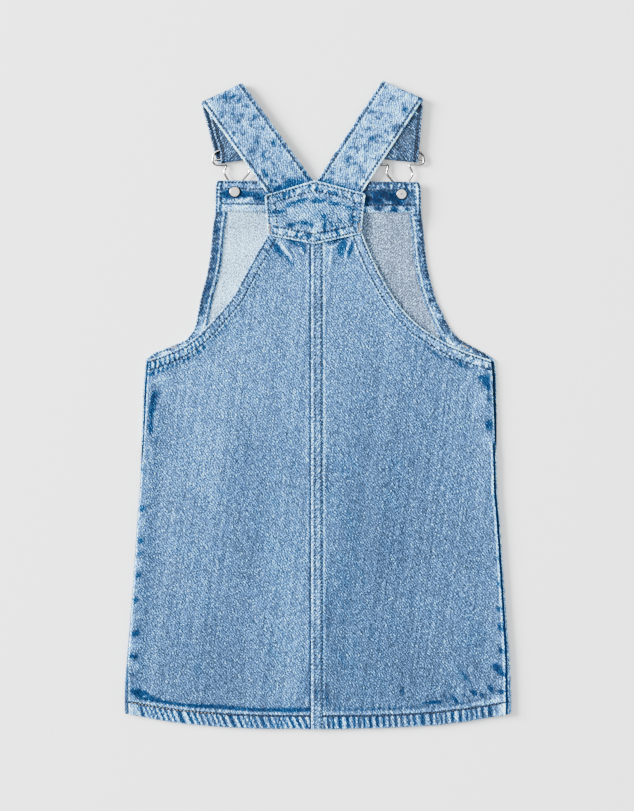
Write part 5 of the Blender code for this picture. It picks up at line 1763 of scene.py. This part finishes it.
def all_stitches():
    """The stitches in plain, dull and tan thread."""
    plain, dull, tan = [], [], []
    for side, way in WAYS.items():
        name = "back_" + side
        xs = way * np.linspace(0.0, 0.1735, 120) + CENTRE_SEAM
        xs = xs[way * xs > HEM_ROW_START[side]]
        for stitch in row_on(name, vectors(xs, hem_curve(xs, HEM_LINE)), end=0.001):
            (tan if stitch.place[0] < TAN_UP_TO else dull).append(stitch)
        for inset in ARMHOLE_STITCHES:
            line = offset_line(armhole_line(side)[1:], way * -inset)
            plain += row_on(name, line, start=0.002, end=0.002)
    ys = np.linspace(HEM_LOW + 0.001, 0.144, 60)
    for across in BAND_ROWS:
        plain += row_on("centre_back_band", vectors(BAND_LEFT + across, ys))
    outer, inner = (inset_line(yoke_outline(), inset) for inset in YOKE_ROWS)
    grown = inner + ROW_ENDS
    for line in (np.concatenate([outer, outer[:1]]), grown[:3], grown[3:]):
        plain += row_on("back_yoke", line)
    for ends in ((2, 3), (5, 0)):
        plain += row_on("back_yoke", inner[list(ends)], start=0.001, end=0.001)
    xs = np.linspace(-0.085, 0.085, 120)
    for stitches, y in ((plain, BIB_TOP - FACING_ROWS[0]), (plain, BIB_TOP - FACING_ROWS[1]),
                        (dull, FACING_FOOT + FACING_FOOT_ROW)):
        stitches.extend(row_on("bib_top_facing", vectors(xs, bib_y(xs, y))))
    for side, way in WAYS.items():
        line = curve_line(BIB_SIDE[side], 0.047, 0.171, 0.002)
        for inset in SIDE_HEM_ROWS:
            plain += row_on("bib_side_hem_" + side, offset_line(line, -way * inset), end=0.001)
    for strap in STRAPS:
        end = strap_spine(strap)[0][-1, 0]
        along = np.arange(-0.001, end - 0.003, PITCH) + 0.0009
        for across in (STRAP_ROW - STRAP_HALF, STRAP_HALF - STRAP_ROW):
            at = (np.full_like(along, across), np.full_like(along, STRAP_CLOTH / 2))
            place, ahead = (strap_point(strap, along + step, *at) for step in (0, 0.0006))
            for here, run in zip(place, ahead - place):
                plain.append(Stitch(tuple(here), tuple(run / np.linalg.norm(run)), 1.0))
    for tack in TACKS:
        tan += tack_on(*tack)
    return plain, dull, tan


for (name, material, *sizes), stitches in zip((
        ("stitches", THREAD, 0.0020, 0.00090, 0.00010),
        ("stitches_dull", DULL, 0.0019, 0.00070, 0.00008),
        ("stitches_tan", TAN, 0.0017, 0.00070, 0.00004)), all_stitches()):
    pieces[name] = sew(name, stitches, material, *sizes)

# ---------------------------------------------------------------- what each piece stands for
for name, piece in pieces.items():
    kind = name.split("_")[0]
    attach(piece, "root")
    if kind != "stitches":
        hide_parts(name)
Cut = namedtuple("Cut", "width length area rests_on")

# ---------------------------------------------------------------- floor, light
floor_material = plain_material("floor", (0.85, 0.85, 0.85), 0.9, 0.0, 0.004, 0.004)
FLOOR_HALF = 3
FLOOR_HEIGHT = -0.0006
corners = [(x * FLOOR_HALF, y * FLOOR_HALF, FLOOR_HEIGHT)
           for x, y in ((-1, -1), (1, -1), (1, 1), (-1, 1))]
mesh_piece("floor", corners, [(0, 1, 2, 3)], floor_material)


KEY_PLACE = Vector((-5.6, 1.6, 3.3))
light = bpy.data.lights.new("key", "AREA")
light.shape = "DISK"
light.size, light.energy = 3.6, 2340
key = placed_object("key", light)
key.location = KEY_PLACE
key.rotation_mode = "QUATERNION"
key.rotation_quaternion = (-KEY_PLACE).to_track_quat("-Z", "Y")
world = bpy.context.scene.world = bpy.data.worlds.new("studio")
world.use_nodes = True
tree = world.node_tree
height = axes_of(output(tree, "ShaderNodeTexCoord", get="Generated"))[2]
fill(tree.nodes["Background"], named={
    "Color": (1, 1, 1, 1), "Strength": soft_step(height, 0.0, 0.9, 0.75, 1.7)})
